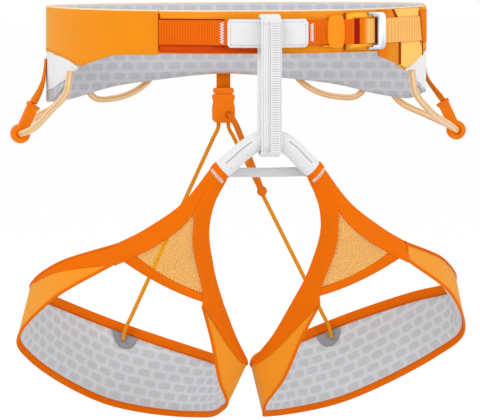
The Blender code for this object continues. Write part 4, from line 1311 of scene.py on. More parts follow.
class HARNESS_OT_front(bpy.types.Operator):
    """Load webbing, tie-in sleeve, keepers and strap tail"""

    bl_idname = "harness.front"
    bl_label = "Front webbing"

    def execute(self, context):
        left, right = ([turn for turn, _ in rows] for rows in (WEB_LEFT, WEB_RIGHT))
        load = self.strap("load_strap", [*left, -SLEEVE_ANGLE, SLEEVE_ANGLE, *right], web_lift)
        place(load, "web", "red_webbing", "waist_belt", "load_webbing")
        tail = self.strap("strap_end", [turn for turn, _ in TAIL_LIFT], tail_lift)
        place(tail, "tail", "pale_webbing", "waist_belt", "strap_tail")
        self.sleeve()
        self.bar_tacks()
        self.strips()
        self.keeper()
        return {"FINISHED"}

    def strap(self, name, knots, lift):
        """A length of the load webbing, lifted off the belt."""
        turns = steps(knots, WEB_STEP)
        bottom, _ = waist(turns, lift(turns), WEB_LOW)
        top, _ = waist(turns, lift(turns), WEB_HIGH)
        normal = unit(np.cross(np.gradient(bottom, axis=0), (0, 0, 1)))
        return ribbon(name, bottom, top, normal, flat_section(WEB_THICKNESS, WEB_WIDTH, 0, 4))

    def sleeve(self):
        """Flat white sleeve round the webbing, with a seam along each of its edges."""
        turns = np.linspace(*SLEEVE_ENDS, 40)
        inner = sleeve_out(turns) - SLEEVE_HALF
        reach = SLEEVE_REACH - self.corner(turns, SLEEVE_CORNER)
        middle = WEB_Z - SLEEVE_DROP
        section = flat_section(2 * SLEEVE_HALF, SLEEVE_WIDTH, 0, 6)
        sleeve = belt_ribbon("tie_in_tube", turns, middle - reach, middle + reach, section, lift=inner)
        place(sleeve, "tape", "white_fabric", "waist_belt", "tie_in_sleeve")
        turns = np.linspace(SLEEVE_ENDS[0] + SLEEVE_SEAM_INSET, SLEEVE_ENDS[1] - SLEEVE_SEAM_INSET, 40)
        lines = [waist(turns, sleeve_out(turns) + SLEEVE_HALF, WEB_Z + z) for z in SLEEVE_SEAMS]
        (low, normal), (high, _) = lines
        lines += [(np.linspace(low[end], high[end], 20), normal[end]) for end in (0, -1)]
        runs = [stitch_run(path, out, FINE_STITCH, FINE_PITCH) for path, out in lines]
        seams = stitches("sleeve_seams", runs, FINE_STITCH, FINE_THREAD)
        place(seams, "grey_thread", "white_fabric", "waist_belt")

    def corner(self, turns, radius):
        """How far the sleeve's round corners draw in its edges."""
        arc = np.radians(np.minimum(turns - turns[0], turns[-1] - turns)) * HALF_WIDTH
        left = np.clip(radius - arc, 0, radius)
        return radius - np.sqrt(radius**2 - left**2)

    def bar_tacks(self):
        """White bar tacks that close the webbing on both sides of the sleeve."""
        up = np.array([0, 0, 1])
        runs = []
        for turn, rise in WEB_TACKS:
            turns = np.array([turn - WEB_TACK_TURN, turn + WEB_TACK_TURN])
            ends, _ = waist(turns, web_lift(turns) + WEB_THICKNESS, WEB_Z)
            across = unit(ends[1] - ends[0])
            middle = ends.mean(0) + np.linspace(-rise, rise, WEB_TACK_COUNT)[:, None] * up
            runs.append(bar_tack(middle, across, WEB_TACK_LEAN * up, unit(np.cross(across, up))))
        tacks = stitches("web_tacks", runs, WEB_TACK_LENGTH, WEB_TACK_RADIUS)
        place(tacks, "white_thread", "white_fabric", "waist_belt")

    def strips(self):
        """Strips of painted shade: the webbing in the buckle's slot and the dark strips along the webbing,
        the elastic and the frame; the elastic; and the pale strips beside it, painted highlight.
        """
        web = (WEB_LOW, WEB_HIGH)
        top = BELT_TOP - EDGE_INSET
        under, over = WEB_LOW + WEB_LAP, WEB_HIGH - WEB_LAP
        elastic, highlight_turns = (
            np.linspace(*turns, columns)
            for _, _, turns, _, _, columns in (BELT_STRIPS["elastic_band"], BELT_STRIPS["side_cover_low"])
        )
        heights = {
            "slot_bight": web,
            "facing_end": SHADE_STRIP_END,
            "facing_top": (WEB_HIGH + SKIN, WEB_HIGH + SHADE_STRIP_RISE),
            "facing_low": (TONGUE_BOTTOM + EDGE_INSET, WEB_LOW - SKIN),
            "facing_elastic_low": (lower_edge([SHADE_STRIP_FOOT])[0] + EDGE_INSET, under),
            "tail_fold": web,
            "elastic_band": (lower_edge(elastic) - ELASTIC_DROP, top),
            "tail_guard": (GUARD_LOW, BELT_TOP - GUARD_INSET),
            "facing_elastic_top": (over, top),
            "facing_side": (hip_seam([SHADE_SIDE_FOOT])[0] + GAP, SHADE_SIDE_TOP),
            "side_cover_top": (over, top),
            "side_cover_low": (hip_seam(highlight_turns) + GAP, under),
        }
        for name, (finish, slot, turns, above, section, columns) in BELT_STRIPS.items():
            strip = self.strip(name, finish, slot, turns, heights[name], section, columns, above)
            if name == "elastic_band":
                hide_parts("elastic_keeper")

    def strip(self, name, finish, slot, turns, heights, section, columns, above=None):
        """A strip laid on the belt; its upper edge may have degrees of its own."""
        low, high = (np.linspace(*ends, columns) for ends in (turns, above or turns))
        _, normal = waist((low + high) / 2, 0, 0)
        edges = waist(low, 0, heights[0])[0], waist(high, 0, heights[1])[0]
        return place(ribbon(name, *edges, normal, flat_section(*section)), finish, slot, "waist_belt")

    def keeper(self):
        """Rubber keeper: a rounded face in front of the webbing, joined behind it by two walls."""
        lowest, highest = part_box("rubber_keeper")
        tall = (highest.z - lowest.z) / 2 - KEEPER_TRIM
        spot = np.linspace(-KEEPER_SPAN, KEEPER_SPAN, 25)
        power = np.where(spot < 0, *KEEPER_SQUARE)
        reach = tall * (1 - np.abs(spot) ** power) ** (1 / power)
        turns = KEEPER_MIDDLE + KEEPER_HALF * spot
        across = np.linspace(0, 1, 13)
        dome = KEEPER_DOME[0] + KEEPER_DOME[1] * (1 - np.abs(2 * across - 1) ** 3)
        section = np.array(list(zip(across, dome)) + [(1, 0), (0, 0)])
        face = belt_ribbon("rubber_sleeve", turns, WEB_Z - reach, WEB_Z + reach, section, lift=KEEPER_LIFT)
        place(face, "rubber", "orange_rubber", "waist_belt", "rubber_keeper")
        inner, outer = WEB_WIDTH / 2 + KEEPER_PLAY, tall - KEEPER_INSET
        spans = {"wall_top": (inner, outer), "wall_low": (-outer, -inner), "back": (-outer, outer)}
        for name, (start, section, columns) in KEEPER_WALLS.items():
            turns = (start, KEEPER_END)
            heights = [WEB_Z + end for end in spans[name]]
            self.strip("rubber_" + name, "rubber", "orange_rubber", turns, heights, section, columns)


class HARNESS_OT_buckle(bpy.types.Operator):
    """Waist buckle: base, loose frame and pins"""

    bl_idname = "harness.buckle"
    bl_label = "Waist buckle"

    def execute(self, context):
        base = refined("buckle_base", "buckle_plate", 0.0007, 3)
        place(base, "gold", "gold_metal", "waist_belt", "buckle_base")
        place(self.bail(), "silver", "silver_metal", "buckle_frame", "buckle_frame")
        for end in ("lower", "upper"):
            pin = refined(f"buckle_pin_{end}", f"pin_{end}", 0.0001, 1)
            place(pin, "silver", "silver_metal", "waist_belt", f"buckle_pin_{end}")
        return {"FINISHED"}

    def bail(self):
        """The loose frame: one plate with round corners, its arms thicker beyond the lugs."""
        pivot = joint_place("buckle_frame_tilt")
        spots = np.array([vertex.co for vertex in frame["nodes"]["buckle_frame"].data.vertices])
        along = unit((spots - pivot).mean(0) * (1, 1, 0))
        out = np.cross(along, (0, 0, 1))
        half = (spots[:, 2].max() - spots[:, 2].min()) / 2
        bend = np.radians(np.linspace(0, 90, 8))
        round_x = BAIL_LENGTH - BAIL_CORNER * (1 - np.cos(bend))
        round_z = half - BAIL_CORNER * (1 - np.sin(bend))
        arm = [(-BAIL_EYE, half), (-BAIL_EYE, BAIL_ARM), (BAIL_STEP, BAIL_ARM), (BAIL_STEP, BAIL_WINDOW)]
        upper = [*zip(round_x, round_z), *arm, (BAIL_LENGTH - BAIL_BAR, BAIL_WINDOW)]
        outline = np.array(upper + [(x, -z) for x, z in upper[::-1]])
        flat = pivot + outline[:, :1] * along + outline[:, 1:] * (0, 0, 1) - out * BAIL_PLATE / 2
        bpy.ops.object.select_all(action="DESELECT")
        bpy.ops.mesh.primitive_circle_add(vertices=len(flat), fill_type="NGON")
        piece = bpy.context.object
        piece.name = "buckle_bail"
        piece.data.name = piece.name
        piece.data.vertices.foreach_set("co", flat.ravel())
        piece.data.update()
        offset = 1 if piece.data.polygons[0].normal @ Vector(out) > 0 else -1
        applied(piece, "SOLIDIFY", thickness=BAIL_PLATE, offset=offset)
        return softened(piece, 0.0007, 3)


class HARNESS_OT_belay_loop(bpy.types.Operator):
    """Belay loop with its sewn strip"""

    bl_idname = "harness.belay_loop"
    bl_label = "Belay loop"

    def execute(self, context):
        lowest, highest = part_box("belay_loop")
        half = (highest.y - lowest.y) / 2
        width = highest.x - lowest.x
        bend = np.radians(np.linspace(0, 180, 25))
        over = np.stack([0 * bend, np.cos(bend), np.sin(bend)], -1)
        middle = (0, (lowest.y + highest.y) / 2, 0)
        top = middle + half * over + (0, 0, highest.z - half)
        low = middle - half * over + (0, 0, lowest.z + half)
        front, rear = (np.linspace(*ends, 12)[1:-1] for ends in ((top[-1], low[0]), (low[-1], top[0])))
        path = np.concatenate([top, front, low, rear])
        normal = np.concatenate([over, 0 * front + (0, -1, 0), -over, 0 * rear + (0, 1, 0)])
        section = flat_section(BELAY_THICKNESS, width, -BELAY_THICKNESS, 6)
        shift = np.array([width / 2, 0, 0])
        loop = ribbon("belay_tape", path - shift, path + shift, normal, section, closed=True)
        place(loop, "tape", "white_fabric", "belay_loop", "belay_loop")
        self.ladder(lowest, highest)
        return {"FINISHED"}

    def ladder(self, lowest, highest):
        """Sewn strip on the front strand, with its ladder of stitches."""
        levels = np.linspace(highest.z - STRIP_ENDS[0], lowest.z + STRIP_ENDS[1], 60)
        left, right = (self.column(x, lowest.y, levels) for x in STRIP_EDGES)
        normal = np.broadcast_to((0.0, -1.0, 0.0), left.shape)
        strip = ribbon("belay_strip", left, right, normal, flat_section(STRIP_THICKNESS, STRIP_WIDTH, -SKIN))
        place(strip, "tape", "white_fabric", "belay_loop")
        levels = np.arange(lowest.z + RUNG_ENDS[1], highest.z - RUNG_ENDS[0], RUNG_PITCH)
        face = lowest.y - STRIP_THICKNESS + SKIN
        ones = np.ones((len(levels), 1))
        out = ones * (0, -1, 0)
        rungs = [(self.column(RUNG_MIDDLE, face, levels), ones * (1, 0, 0), out)]
        rails = [(x, face) for x in STRIP_RAILS] + [(x, lowest.y) for x in LOOP_RAILS]
        between = levels + RUNG_PITCH / 2
        rails = [(self.column(x, y, between), ones * (0, 0, 1), out) for x, y in rails]
        for name, runs, stitch in (("belay_rungs", rungs, RUNG_LENGTH), ("belay_rails", rails, RAIL_LENGTH)):
            place(stitches(name, runs, stitch, LADDER_THREAD), "grey_thread", "white_fabric", "belay_loop")

    def column(self, x, y, levels):
        return np.stack([0 * levels + x, 0 * levels + y, levels], -1)


class HARNESS_OT_leg_tie_in(bpy.types.Operator):
    """Arch through the belay loop and the bridge strap under it"""

    bl_idname = "harness.leg_tie_in"
    bl_label = "Leg tie-in"

    def execute(self, context):
        hang = hanging_point()
        route = list(ARCH_ROUTE) + [(-x, y, z) for x, y, z in ARCH_ROUTE[-2::-1]]
        path = hang + through(route, 60)
        way = unit(np.gradient(path, axis=0))
        back = unit(np.array([0, 1, 0]) - way * way[:, 1:2])
        up = np.cross(back, way)
        run = lengths_along(path)
        arch = oval_tube("tie_in_bow", path, ARCH_DEPTH * back, ARCH_HEIGHT * up, 24, run, BOW_RADIUS)
        place(arch, "tape", "white_fabric", "leg_loops", "leg_tie_in_arch")
        ring = (ARCH_DEPTH + FOLD_OUT) * math.cos(ARCH_FOLD) * back
        ring = ring + (ARCH_HEIGHT + FOLD_OUT) * math.sin(ARCH_FOLD) * up
        for name, part in (("left", slice(4, 22)), ("right", slice(38, 56))):
            fold = tube(f"bow_fold_{name}", (path + ring)[part], ARCH_FOLD_RADIUS, 6)
            place(fold, "grey_thread", "white_fabric", "leg_loops")
        path = hang + through(BRIDGE_ROUTE, 24)
        half = np.array([0, 0, BRIDGE_WIDTH / 2])
        normal = unit(np.cross(np.gradient(path, axis=0), (0, 0, 1)))
        section = flat_section(BRIDGE_THICKNESS, BRIDGE_WIDTH, -BRIDGE_THICKNESS / 2)
        bridge = ribbon("bridge_tape", path - half, path + half, normal, section)
        place(bridge, "bridge", "white_fabric", "leg_loops", "leg_bridge_strap")
        return {"FINISHED"}


class HARNESS_OT_legs(bpy.types.Operator):
    """Leg pads, linings, straps, mesh windows and riser patches"""

    bl_idname = "harness.legs"
    bl_label = "Leg loops"

    def execute(self, context):
        for name, side in SIDES:
            self.pad(name, side)
            self.patch(name, side)
            for kind in ("outer", "inner"):
                self.strap(kind, name, side)
            self.cuff(name, side)
            self.window(name, side)
        return {"FINISHED"}

    def pad(self, name, side):
        """Shell, lining, hems and seams of one leg pad."""
        top, low, normal = pad_rows(np.linspace(*LEG_ENDS, LEG_COLUMNS), side)
        section = flat_section(LEG_SHELL, LEG_WIDTH, -LEG_SHELL, 4)
        shell = ribbon(f"thigh_panel_{name}", low, top, normal, section)
        place(shell, "leg_side", "orange_webbing", "leg_loops", f"leg_shell_{name}")
        keep = slice(2, -2)
        height = np.linalg.norm(top - low, axis=1)[:, None]
        under, over = (hem / np.maximum(height, 3 * hem) for hem in (BINDING_LOW, BINDING_TOP))
        inner_low = low + (top - low) * under * BINDING_BARE
        inner_top = top - (top - low) * over
        face = -LEG_SHELL - GAP
        section = pad_section(face - LEG_LINING, face)
        lining = ribbon(f"thigh_lining_{name}", inner_low[keep], inner_top[keep], normal[keep], section)
        place(lining, "leg_lining", "grey_lining", "leg_loops", f"leg_lining_{name}")
        down = unit(low - top)
        self.binding(f"thigh_hem_top_{name}", top, down, normal, HEM_OUTSIDE, BINDING_TOP + HEM_LAP)
        inside = BINDING_LOW * BINDING_BARE + HEM_LAP
        self.binding(f"thigh_hem_low_{name}", low, -down, normal, HEM_OUTSIDE_LOW, inside)
        runs = [
            seam_run(top + down * HEM_SEAM_INSIDE - normal * (LEG_SHELL + HEM_LIFT[0]), -normal),
            seam_run(top + down * (HEM_OUTSIDE - HEM_SEAM_EDGE) + normal * HEM_LIFT[1], normal),
        ]
        seams = stitches(f"thigh_seams_{name}", runs, sizes().stitch, sizes().thread)
        place(seams, "leg_thread", "orange_webbing", "leg_loops")

    def patch(self, name, side):
        """Half-round patch sewn on the lining, where the riser ends."""
        shares = np.linspace(TAB_PLACE - TAB_SPAN, TAB_PLACE + TAB_SPAN, 81)
        rows = pad_rows(shares, side)
        run = lengths_along(rows[0])
        bend = np.linspace(-TAB_BEND, TAB_BEND, 25)
        spots = np.interp(TAB_PLACE, shares, run) + TAB_RADIUS * np.sin(bend)
        top, low, normal = (sampled(spots, run, row) for row in rows)
        height = np.linalg.norm(top - low, axis=1)[:, None]
        drop = TAB_RADIUS * np.cos(bend)[:, None] * np.linspace(0, 1, 9)
        share = np.clip((drop + TAB_LAP) / (height - BINDING_TOP - BINDING_LOW), 0, 0.5)
        sink = LEG_SHELL + 2 * GAP + LEG_LINING * pad_crown(share)
        down = unit(low - top)[:, None] * (BINDING_TOP - TAB_TUCK + drop)[..., None]
        points = top[:, None] + down - normal[:, None] * sink[..., None]
        piece = grid_piece(f"riser_patch_{name}", points, grid_uv(spots, drop), caps=False)
        applied(piece, "SOLIDIFY", thickness=TAB_THICKNESS, offset=0)
        place(piece, "patch", "dark_patch", "leg_loops", f"riser_tab_{name}")

    def binding(self, name, edge, into, normal, outside, inside):
        """Tape folded round an edge of the pad."""
        depth = max(outside, inside)
        back = -LEG_SHELL
        reach = BINDING - back / 2
        turn = np.radians(np.linspace(90, 270, 9))
        bend = [(reach * math.cos(a), back / 2 + reach * math.sin(a)) for a in turn]
        skin = [(outside, BINDING), *bend, (inside, back - BINDING)]
        core = [(inside, back - SKIN), (0, back - SKIN), (0, SKIN), (outside, SKIN)]
        section = np.array([(v / depth, off) for v, off in skin + core])
        tape = ribbon(name, edge, edge + into * depth, normal, section)
        place(tape, "leg", "orange_webbing", "leg_loops")

    def strap(self, kind, name, side):
        """One load strap, and the wedge in which it runs out along its pad."""
        outer = kind == "outer"
        shares = np.linspace(0, 1, STRAP_COLUMNS)
        run = np.linspace(0, 1, WEDGE_COLUMNS)
        high = leg_rows(OUTER_TOP, shares, side) if outer else inner_edge(shares, side)
        under = leg_rows(OUTER_LOW if outer else INNER_TOP, shares, side)
        wedge = WEDGE_START + run * STRAP_REACH[kind, side]
        edge, hem, _ = pad_rows(wedge if outer else 1 - wedge, side)
        full = np.linalg.norm(hem - edge, axis=1)
        width = (HEM_OUTSIDE + WEDGE_TAPER * np.sqrt(1 - run)) / full
        start = 1 - width[0] - (0 if outer else PAD_TRIM / full[0])
        hem = edge + (hem - edge) * (width + start * (1 - run) ** WEDGE_POWER)[:, None]
        overlap = unit(high - under) * STRAP_OVERLAP[kind]
        if outer:
            high, under = np.concatenate([high, edge]), np.concatenate([under - overlap, hem])
        else:
            high, under = np.concatenate([high + overlap, hem]), np.concatenate([under, edge])
        spread_from = STRAP_COLUMNS - FLARE_COLUMNS
        flare = np.clip((np.arange(len(high)) - spread_from) / FLARE_COLUMNS, 0, 1)[:, None] * FLARE_WIDTH
        wide = unit(high - under) * flare
        high, under = high + wide, under - wide
        section = flat_section(STRAP_THICKNESS, STRAP_WIDTH, STRAP_LIFT[kind] - STRAP_THICKNESS / 2, 3)
        thin = np.concatenate([np.ones(STRAP_COLUMNS), np.linspace(1, STRAP_THIN[kind], WEDGE_COLUMNS)])
        normal = outward(high, under, side)
        band = ribbon(f"thigh_strap_{kind}_{name}", under, high, normal, section, swell=thin)
        place(band, "leg", "orange_webbing", "leg_loops", f"leg_strap_{kind}_{name}")

    def window(self, name, side):
        """Cross band and net between the two straps."""
        edges = (OUTER_LOW, INNER_LOW)
        split, cross = ([knot_of(rows, row) for rows in edges] for row in (WINDOW_ROW, BAND_ROW))
        rise = BAND_RISE[side]
        ends = np.array([0, 1])
        outer = leg_rows(OUTER_LOW, cross[0] - rise[0] + ends * (1 - cross[0]), side)
        inner = inner_edge(cross[1] - rise[1] + ends * (1 - cross[1]), side)
        share = np.linspace(-0.01, 1.01, 40)[:, None]
        sag = np.array([0, 0, -BAND_SAG]) * (4 * share * (1 - share))
        high, low = (outer[i] + share * (inner[i] - outer[i]) + sag for i in ends)
        low, high = low + (high - low) * BAND_TRIM, high - (high - low) * BAND_TRIM
        normal = outward(high, low, side)
        section = flat_section(BAND_THICKNESS, BAND_WIDTH, -BAND_THICKNESS / 2)
        band = ribbon(f"thigh_band_{name}", low, high, normal, section)
        place(band, "leg", "orange_webbing", "leg_loops", f"leg_cross_band_{name}")
        cord = tube(f"band_edge_{name}", (high + normal * BAND_CORD_LIFT)[1:-1], BAND_CORD, 8)
        place(cord, "leg_thread", "orange_webbing", "leg_loops")
        share = np.linspace(0, 1, NET_COLUMNS)
        outer = leg_rows(OUTER_LOW, split[0] + share * (cross[0] - rise[0] + NET_OVERLAP - split[0]), side)
        inner = inner_edge(split[1] + share * (cross[1] - rise[1] + NET_OVERLAP - split[1]), side)
        self.net(name, outer, inner)

    def net(self, name, outer, inner):
        """An even net over the window between two straps, its rim hidden in them."""
        share = np.linspace(0, 1, NET_COLUMNS)
        across = share[None, :, None]
        sag = np.array([0, 0, -NET_SAG]) * (4 * across * (1 - across)) * share[:, None, None] ** 2
        sheet = outer[:, None] + across * (inner - outer)[:, None] + sag
        rim = np.concatenate([outer, sheet[-1], inner[::-1]])
        sheet = sheet.reshape(-1, 3)
        middle = sheet.mean(0)
        axes = np.linalg.svd(sheet - middle, full_matrices=False)[2]
        flat = (sheet - middle) @ axes.T
        shape = np.linalg.lstsq(self.bend(flat), flat[:, 2], rcond=None)[0]
        reach = np.abs(flat[:, :2]).max() * 1.5
        lines = np.arange(-reach, reach, sizes().net_pitch)
        first, second = np.meshgrid(lines, lines, indexing="ij")
        level = np.stack([first + second, first - second], -1) * math.sqrt(0.5)
        depth = (self.bend(level.reshape(-1, 2)) @ shape).reshape(*first.shape, 1)
        behind = axes[2] * np.sign(axes[2][1]) * NET_BACK
        points = middle + behind + np.concatenate([level, depth], -1) @ axes
        net = grid_piece(f"thigh_net_{name}", points, np.zeros(points.shape[:2] + (2,)), caps=False)
        rim = ((rim - middle) @ axes.T)[:, :2]
        rim = rim - unit(rim - rim.mean(0)) * NET_INSET
        centres = np.empty(len(net.data.polygons) * 3)
        net.data.polygons.foreach_get("center", centres)
        centres = ((centres.reshape(-1, 3) - middle) @ axes.T)[:, :2]
        bpy.ops.object.mode_set(mode="EDIT")
        bpy.ops.mesh.select_mode(type="FACE")
        bpy.ops.mesh.select_all(action="DESELECT")
        bpy.ops.object.mode_set(mode="OBJECT")
        net.data.polygons.foreach_set("select", ~within(rim, centres))
        bpy.ops.object.mode_set(mode="EDIT")
        bpy.ops.mesh.delete(type="FACE")
        bpy.ops.object.mode_set(mode="OBJECT")
        strand = sizes().net_strand
        applied(net, "WIREFRAME", thickness=strand, use_boundary=True, use_even_offset=False)
        place(net, "net", "orange_webbing", "leg_loops", f"leg_mesh_{name}")

    def bend(self, flat):
        """Terms of a gently curved height over a plane."""
        x, y = flat[:, 0], flat[:, 1]
        return np.stack([x**i * y**j for i in range(4) for j in range(4 - i)], -1)

    def cuff(self, name, side):
        """Sewn end of the two straps, folded round the end of the tie-in bow, with its bar tack."""
        end, near = (np.array(row) * (-side, 1, 1) for row in ARCH_ROUTE[:2])
        way = unit(end - near)
        back = unit(np.array([0, 1, 0]) - way * way[1])
        across = np.cross(back, way) * side
        shares = np.array([0.1, 0.2])
        outer, inner = (leg_rows(rows, shares, side) - hanging_point() for rows in (OUTER_TOP, INNER_TOP))
        middles = [*(end + way * step for step in CUFF_REACH), *(outer + inner) / 2]
        widths = [CUFF_WIDTH, CUFF_WIDTH, *np.linalg.norm(outer - inner, axis=1) / 2]
        path = hanging_point() + through(middles, CUFF_COLUMNS)
        share = np.linspace(0, 1, CUFF_COLUMNS)
        knots = np.linspace(0, 1, len(middles))
        flat = unit(outer[1] - inner[1])
        turned = across * np.sign(across @ flat)
        wide = unit((1 - share)[:, None] * turned + share[:, None] * flat)
        deep = unit(back - wide * (wide @ back)[:, None])
        wide = wide * np.interp(share, knots, widths)[:, None]
        deep = deep * np.interp(share, knots, CUFF_DEPTHS)[:, None]
        sleeve = oval_tube(f"strap_cuff_{name}", path, wide, deep, CUFF_SIDES, share * CUFF_RUN, CUFF_RADIUS)
        place(sleeve, "leg", "orange_webbing", "leg_loops")
        turn = np.linspace(0, 2 * math.pi, CUFF_SIDES + 1)[17:26:2, None]
        front = path[4] + np.cos(turn) * wide[4] + np.sin(turn) * deep[4]
        spots = np.linspace(0, len(front) - 1, CUFF_TACK_COUNT)
        middle = sampled(spots, np.arange(len(front)), front)
        tack = bar_tack(middle, way, (front[-1] - front[0]) / CUFF_TACK_COUNT, -back)
        tack = stitches(f"strap_tack_{name}", [tack], CUFF_TACK_LENGTH, CUFF_TACK_RADIUS)
        place(tack, "white_thread", "white_fabric", "leg_loops")


class HARNESS_OT_seat_clip(bpy.types.Operator):
    """Riser webbing, release clip, elastic risers and pull tail"""

    bl_idname = "harness.seat_clip"
    bl_label = "Seat clip and risers"

    def execute(self, context):
        strap = refined("riser_webbing", "riser_tape", 0.0004)
        place(strap, "elastic", "elastic_cord", "waist_belt", "riser_webbing")
        for node in ("clip_male", "clip_body"):
            shape = refined(node, "seat_" + node, 0.0009, 3)
            place(shape, "plastic", "orange_plastic", "waist_belt", node)
        for name, side in SIDES:
            arm = refined(f"clip_arm_{name}", f"seat_clip_arm_{name}", 0.0006)
            place(arm, "plastic", "orange_plastic", f"clip_arm_{name}", f"clip_arm_{name}")
            self.riser(name, side)
        self.pull_tail()
        return {"FINISHED"}

    def riser(self, name, side):
        """Elastic cord from a leg's patch to the clip, in two lengths that meet at one of its points."""
        lowest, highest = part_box("clip_body")
        tops, lows, _ = pad_rows(TAB_PLACE + np.array([0, 0.01, 0.02]), side)
        up = unit(tops[0] - lows[0])
        inward = unit(np.cross(up, tops[1] - tops[0])) * side
        start = tops[0] - up * (BINDING_TOP + RISER_SEWN) + inward * (LEG_SHELL + LEG_LINING + RISER_LIFT)
        knee = start + up * RISER_KNEE * BINDING_TOP
        end = np.array([side * RISER_HOLE, (lowest.y + highest.y) / 2, lowest.z + RISER_SEAT])
        drop = end - (0, 0, 2 * RISER_SEAT)
        rows = [start, knee, *(knee + share * (drop - knee) for share in RISER_SHARES), drop, end]
        path = through(rows, RISER_POINTS)
        for half, bodies, part in (
            ("lower", ("leg_loops", "belay_loop"), path[: RISER_SPLIT + 1]),
            ("upper", ("belay_loop", "waist_belt"), path[RISER_SPLIT:]),
        ):
            piece = tube(f"riser_{half}_{name}", part, RISER_RADIUS, 10)
            painted(piece, "cord")
            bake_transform(piece)
            if half == "lower":
                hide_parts(f"riser_cord_{name}")

    def pull_tail(self):
        """Pull cord from the clip, with its knot end."""
        lowest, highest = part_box("clip_body")
        hole = np.array([TAIL_HOLE[0], lowest.y, highest.z + TAIL_HOLE[1]])
        path = hole + through(TAIL_ROUTE, TAIL_POINTS)
        turn = math.pi * np.linspace(*KNOT_ARC, 14)
        ball = path[-1] + unit(path[-1] - path[-2]) * (KNOT_RADIUS * (1 - np.cos(turn)))[:, None]
        radii = np.concatenate([np.full(TAIL_POINTS, TAIL_RADIUS), KNOT_RADIUS * np.sin(turn) + SKIN])
        whole = np.concatenate([path, ball])
        tail = tube("pull_cord", whole, radii, 14)
        place(tail, "pull", "elastic_cord", "waist_belt", "pull_tail")


class HARNESS_OT_gear_loops(bpy.types.Operator):
    """Front and rear gear loops with the front pair's hangers"""

    bl_idname = "harness.gear_loops"
    bl_label = "Gear loops"

    def execute(self, context):
        for name, side in SIDES:
            rows = [(FLARES[side] + step, out, z) for step, out, z in FRONT_GEAR_START] + list(FRONT_GEAR_END)
            loop = tube(f"gear_front_{name}", self.path(rows, side, 90), FRONT_GEAR_RADIUS)
            place(loop, "tube", "clear_tube", f"front_gear_loop_{name}", f"front_gear_loop_{name}")
            loop = tube(f"gear_rear_{name}", self.path(REAR_GEAR, side, 70), REAR_GEAR_RADIUS)
            place(loop, "tube", "clear_tube", f"rear_gear_loop_{name}", f"rear_gear_loop_{name}")
            ring = refined(f"hanger_ring_{name}", f"gear_ring_{name}", 0.0012, 3, SMOOTH_ROUND)
            place(ring, "plastic", "orange_plastic", f"front_gear_loop_{name}", f"hanger_ring_{name}")
            centre = waist([side * HANGER_ANGLE], *FRONT_GEAR_END[1][1:])[0][0]
            path = self.path(rows, side, 900)
            near = path[np.linalg.norm(path - centre, axis=1) < BUSH_HALF]
            bush = tube(f"gear_bush_{name}", near[::4], BUSH_RADIUS, 20)
            place(bush, "plastic", "orange_plastic", f"front_gear_loop_{name}")
            self.hanger(name, side)
        return {"FINISHED"}

    def path(self, rows, side, count):
        turns, out, z = (np.array(column, float) for column in zip(*rows))
        return through(waist(side * turns, out, z)[0], count)

    def hanger(self, name, side):
        """Strap from the belt to a front loop's ring."""
        route = [(math.radians(turn) / 10, out, z) for turn, out, z in HANGER_ROUTE]
        turns, out, z = through(route, np.linspace(HANGER_START, 1, HANGER_COLUMNS)).T
        middle, normal = waist(side * (HANGER_ANGLE + np.degrees(10 * turns)), out, z)
        along = unit(np.cross((0, 0, 1), normal))
        half = along * HANGER_WIDTH / 2
        face = unit(np.cross(np.gradient(middle, axis=0), along))
        face *= np.sign((face * normal).sum(1))[:, None]
        swell = np.interp(np.arange(HANGER_COLUMNS), *HANGER_SWELL)
        section = flat_section(HANGER_THICKNESS, HANGER_WIDTH)
        strap = ribbon(f"gear_strap_{name}", middle - half, middle + half, face, section, swell=swell)
        painted(strap, "elastic")
        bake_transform(strap)
        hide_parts(f"hanger_strap_{name}")


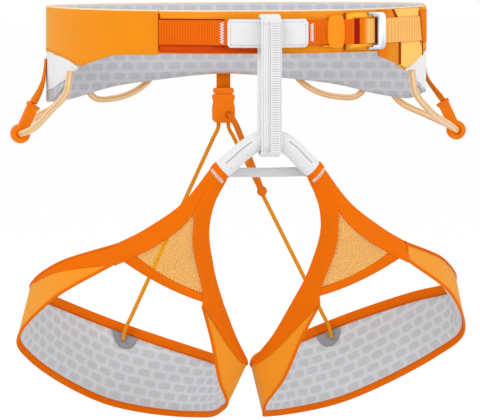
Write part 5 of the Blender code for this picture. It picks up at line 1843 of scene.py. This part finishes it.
class HARNESS_OT_stage(bpy.types.Operator):
    """Pale floor, soft studio light and the camera"""

    bl_idname = "harness.stage"
    bl_label = "Stage"

    def execute(self, context):
        scene = context.scene
        scene.view_settings.view_transform = "Standard"
        bpy.ops.object.select_all(action="DESELECT")
        bpy.ops.mesh.primitive_plane_add(size=FLOOR_SIZE, location=(0, 3, CAD_BOX[0].z - FLOOR_DROP))
        floor = context.object
        floor.name = "floor"
        self.pale(floor)
        self.world(scene)
        for name, lamp in LAMPS.items():
            self.lamp(scene, name, *lamp)
        self.camera(scene)
        return {"FINISHED"}

    def camera(self, scene):
        turn, tilt = math.radians(CAMERA_AZIMUTH), math.radians(CAMERA_ELEVATION)
        right = Vector((math.cos(turn), math.sin(turn), 0))
        view = Vector((-math.sin(turn) * math.cos(tilt), math.cos(turn) * math.cos(tilt), -math.sin(tilt)))
        up = right.cross(view)
        data = bpy.data.cameras.new("camera")
        data.lens = CAMERA_LENS
        data.sensor_width = CAMERA_SENSOR
        data.clip_end = 100
        camera = bpy.data.objects.new("camera", data)
        scene.collection.objects.link(camera)
        target = right * FRAME_RIGHT + up * FRAME_UP
        distance = FRAME_WIDTH * CAMERA_LENS / CAMERA_SENSOR
        axes = Matrix((right, up, -view)).transposed().to_4x4()
        camera.matrix_world = Matrix.Translation(target - view * distance) @ axes
        scene.camera = camera

    def lamp(self, scene, name, where, size, power):
        data = bpy.data.lights.new(name, "AREA")
        data.energy = power
        data.size = size
        lamp = bpy.data.objects.new(name, data)
        scene.collection.objects.link(lamp)
        lamp.location = where
        aim = Vector(LAMP_AIM) - Vector(where)
        lamp.rotation_euler = aim.to_track_quat("-Z", "Y").to_euler()

    def pale(self, floor):
        """A floor that looks white to the camera and still takes shadows."""
        paint = Paint("pale_floor", 0.9)
        paint.set("Base Color", (0.9, 0.9, 0.9))
        rays = ("Is Camera Ray", "Is Glossy Ray")
        rays = [paint.node("ShaderNodeLightPath", {}, {}, output=name) for name in rays]
        seen = rays[0].math("MAXIMUM", *rays)
        glow = paint.node("ShaderNodeEmission", {}, {"Color": (1, 1, 1, 1), "Strength": 1.03})
        shader = Value(paint, paint.shader.outputs[0])
        mixed = paint.node("ShaderNodeMixShader", {}, {0: seen * 0.9, 1: shader, 2: glow})
        output = next(node for node in paint.tree.nodes if node.type == "OUTPUT_MATERIAL")
        paint.join(output.inputs["Surface"], mixed)
        floor.data.materials.append(paint.material)

    def world(self, scene):
        """White surroundings, dimmer as light than to the camera."""
        world = bpy.data.worlds.new("studio")
        world.use_nodes = True
        scene.world = world
        tree = world.node_tree
        background = tree.nodes["Background"]
        path = tree.nodes.new("ShaderNodeLightPath")
        strength = tree.nodes.new("ShaderNodeMapRange")
        strength.inputs["To Min"].default_value = 0.72
        strength.inputs["To Max"].default_value = 1.0
        background.inputs["Color"].default_value = (1, 1, 1, 1)
        tree.links.new(path.outputs["Is Camera Ray"], strength.inputs["Value"])
        tree.links.new(strength.outputs["Result"], background.inputs["Strength"])


OPERATORS = (
    HARNESS_OT_stage,
    HARNESS_OT_belt,
    HARNESS_OT_front,
    HARNESS_OT_buckle,
    HARNESS_OT_belay_loop,
    HARNESS_OT_leg_tie_in,
    HARNESS_OT_legs,
    HARNESS_OT_seat_clip,
    HARNESS_OT_gear_loops,
)


class HARNESS_PT_panel(bpy.types.Panel):
    """Lists the harness's pieces"""

    bl_idname = "HARNESS_PT_panel"
    bl_label = "Climbing harness"
    bl_space_type = "VIEW_3D"
    bl_region_type = "UI"
    bl_category = "Harness"

    def draw(self, context):
        for group in (context.scene.harness_sizes, context.scene.harness_colours):
            box = self.layout.box()
            for field in group.bl_rna.properties:
                if field.identifier not in ("rna_type", "name"):
                    box.prop(group, field.identifier)
        for operator in OPERATORS:
            self.layout.operator(operator.bl_idname)


CLASSES = (HarnessSizes, HarnessColours, *OPERATORS, HARNESS_PT_panel)


def register():
    for item in CLASSES:
        bpy.utils.register_class(item)
    bpy.types.Scene.harness_sizes = bpy.props.PointerProperty(type=HarnessSizes)
    bpy.types.Scene.harness_colours = bpy.props.PointerProperty(type=HarnessColours)


def unregister():
    del bpy.types.Scene.harness_colours
    del bpy.types.Scene.harness_sizes
    for item in reversed(CLASSES):
        bpy.utils.unregister_class(item)


def main():
    register()
    for operator in OPERATORS:
        group, action = operator.bl_idname.split(".")
        getattr(getattr(bpy.ops, group), action)()


if __name__ == "__main__":
    main()
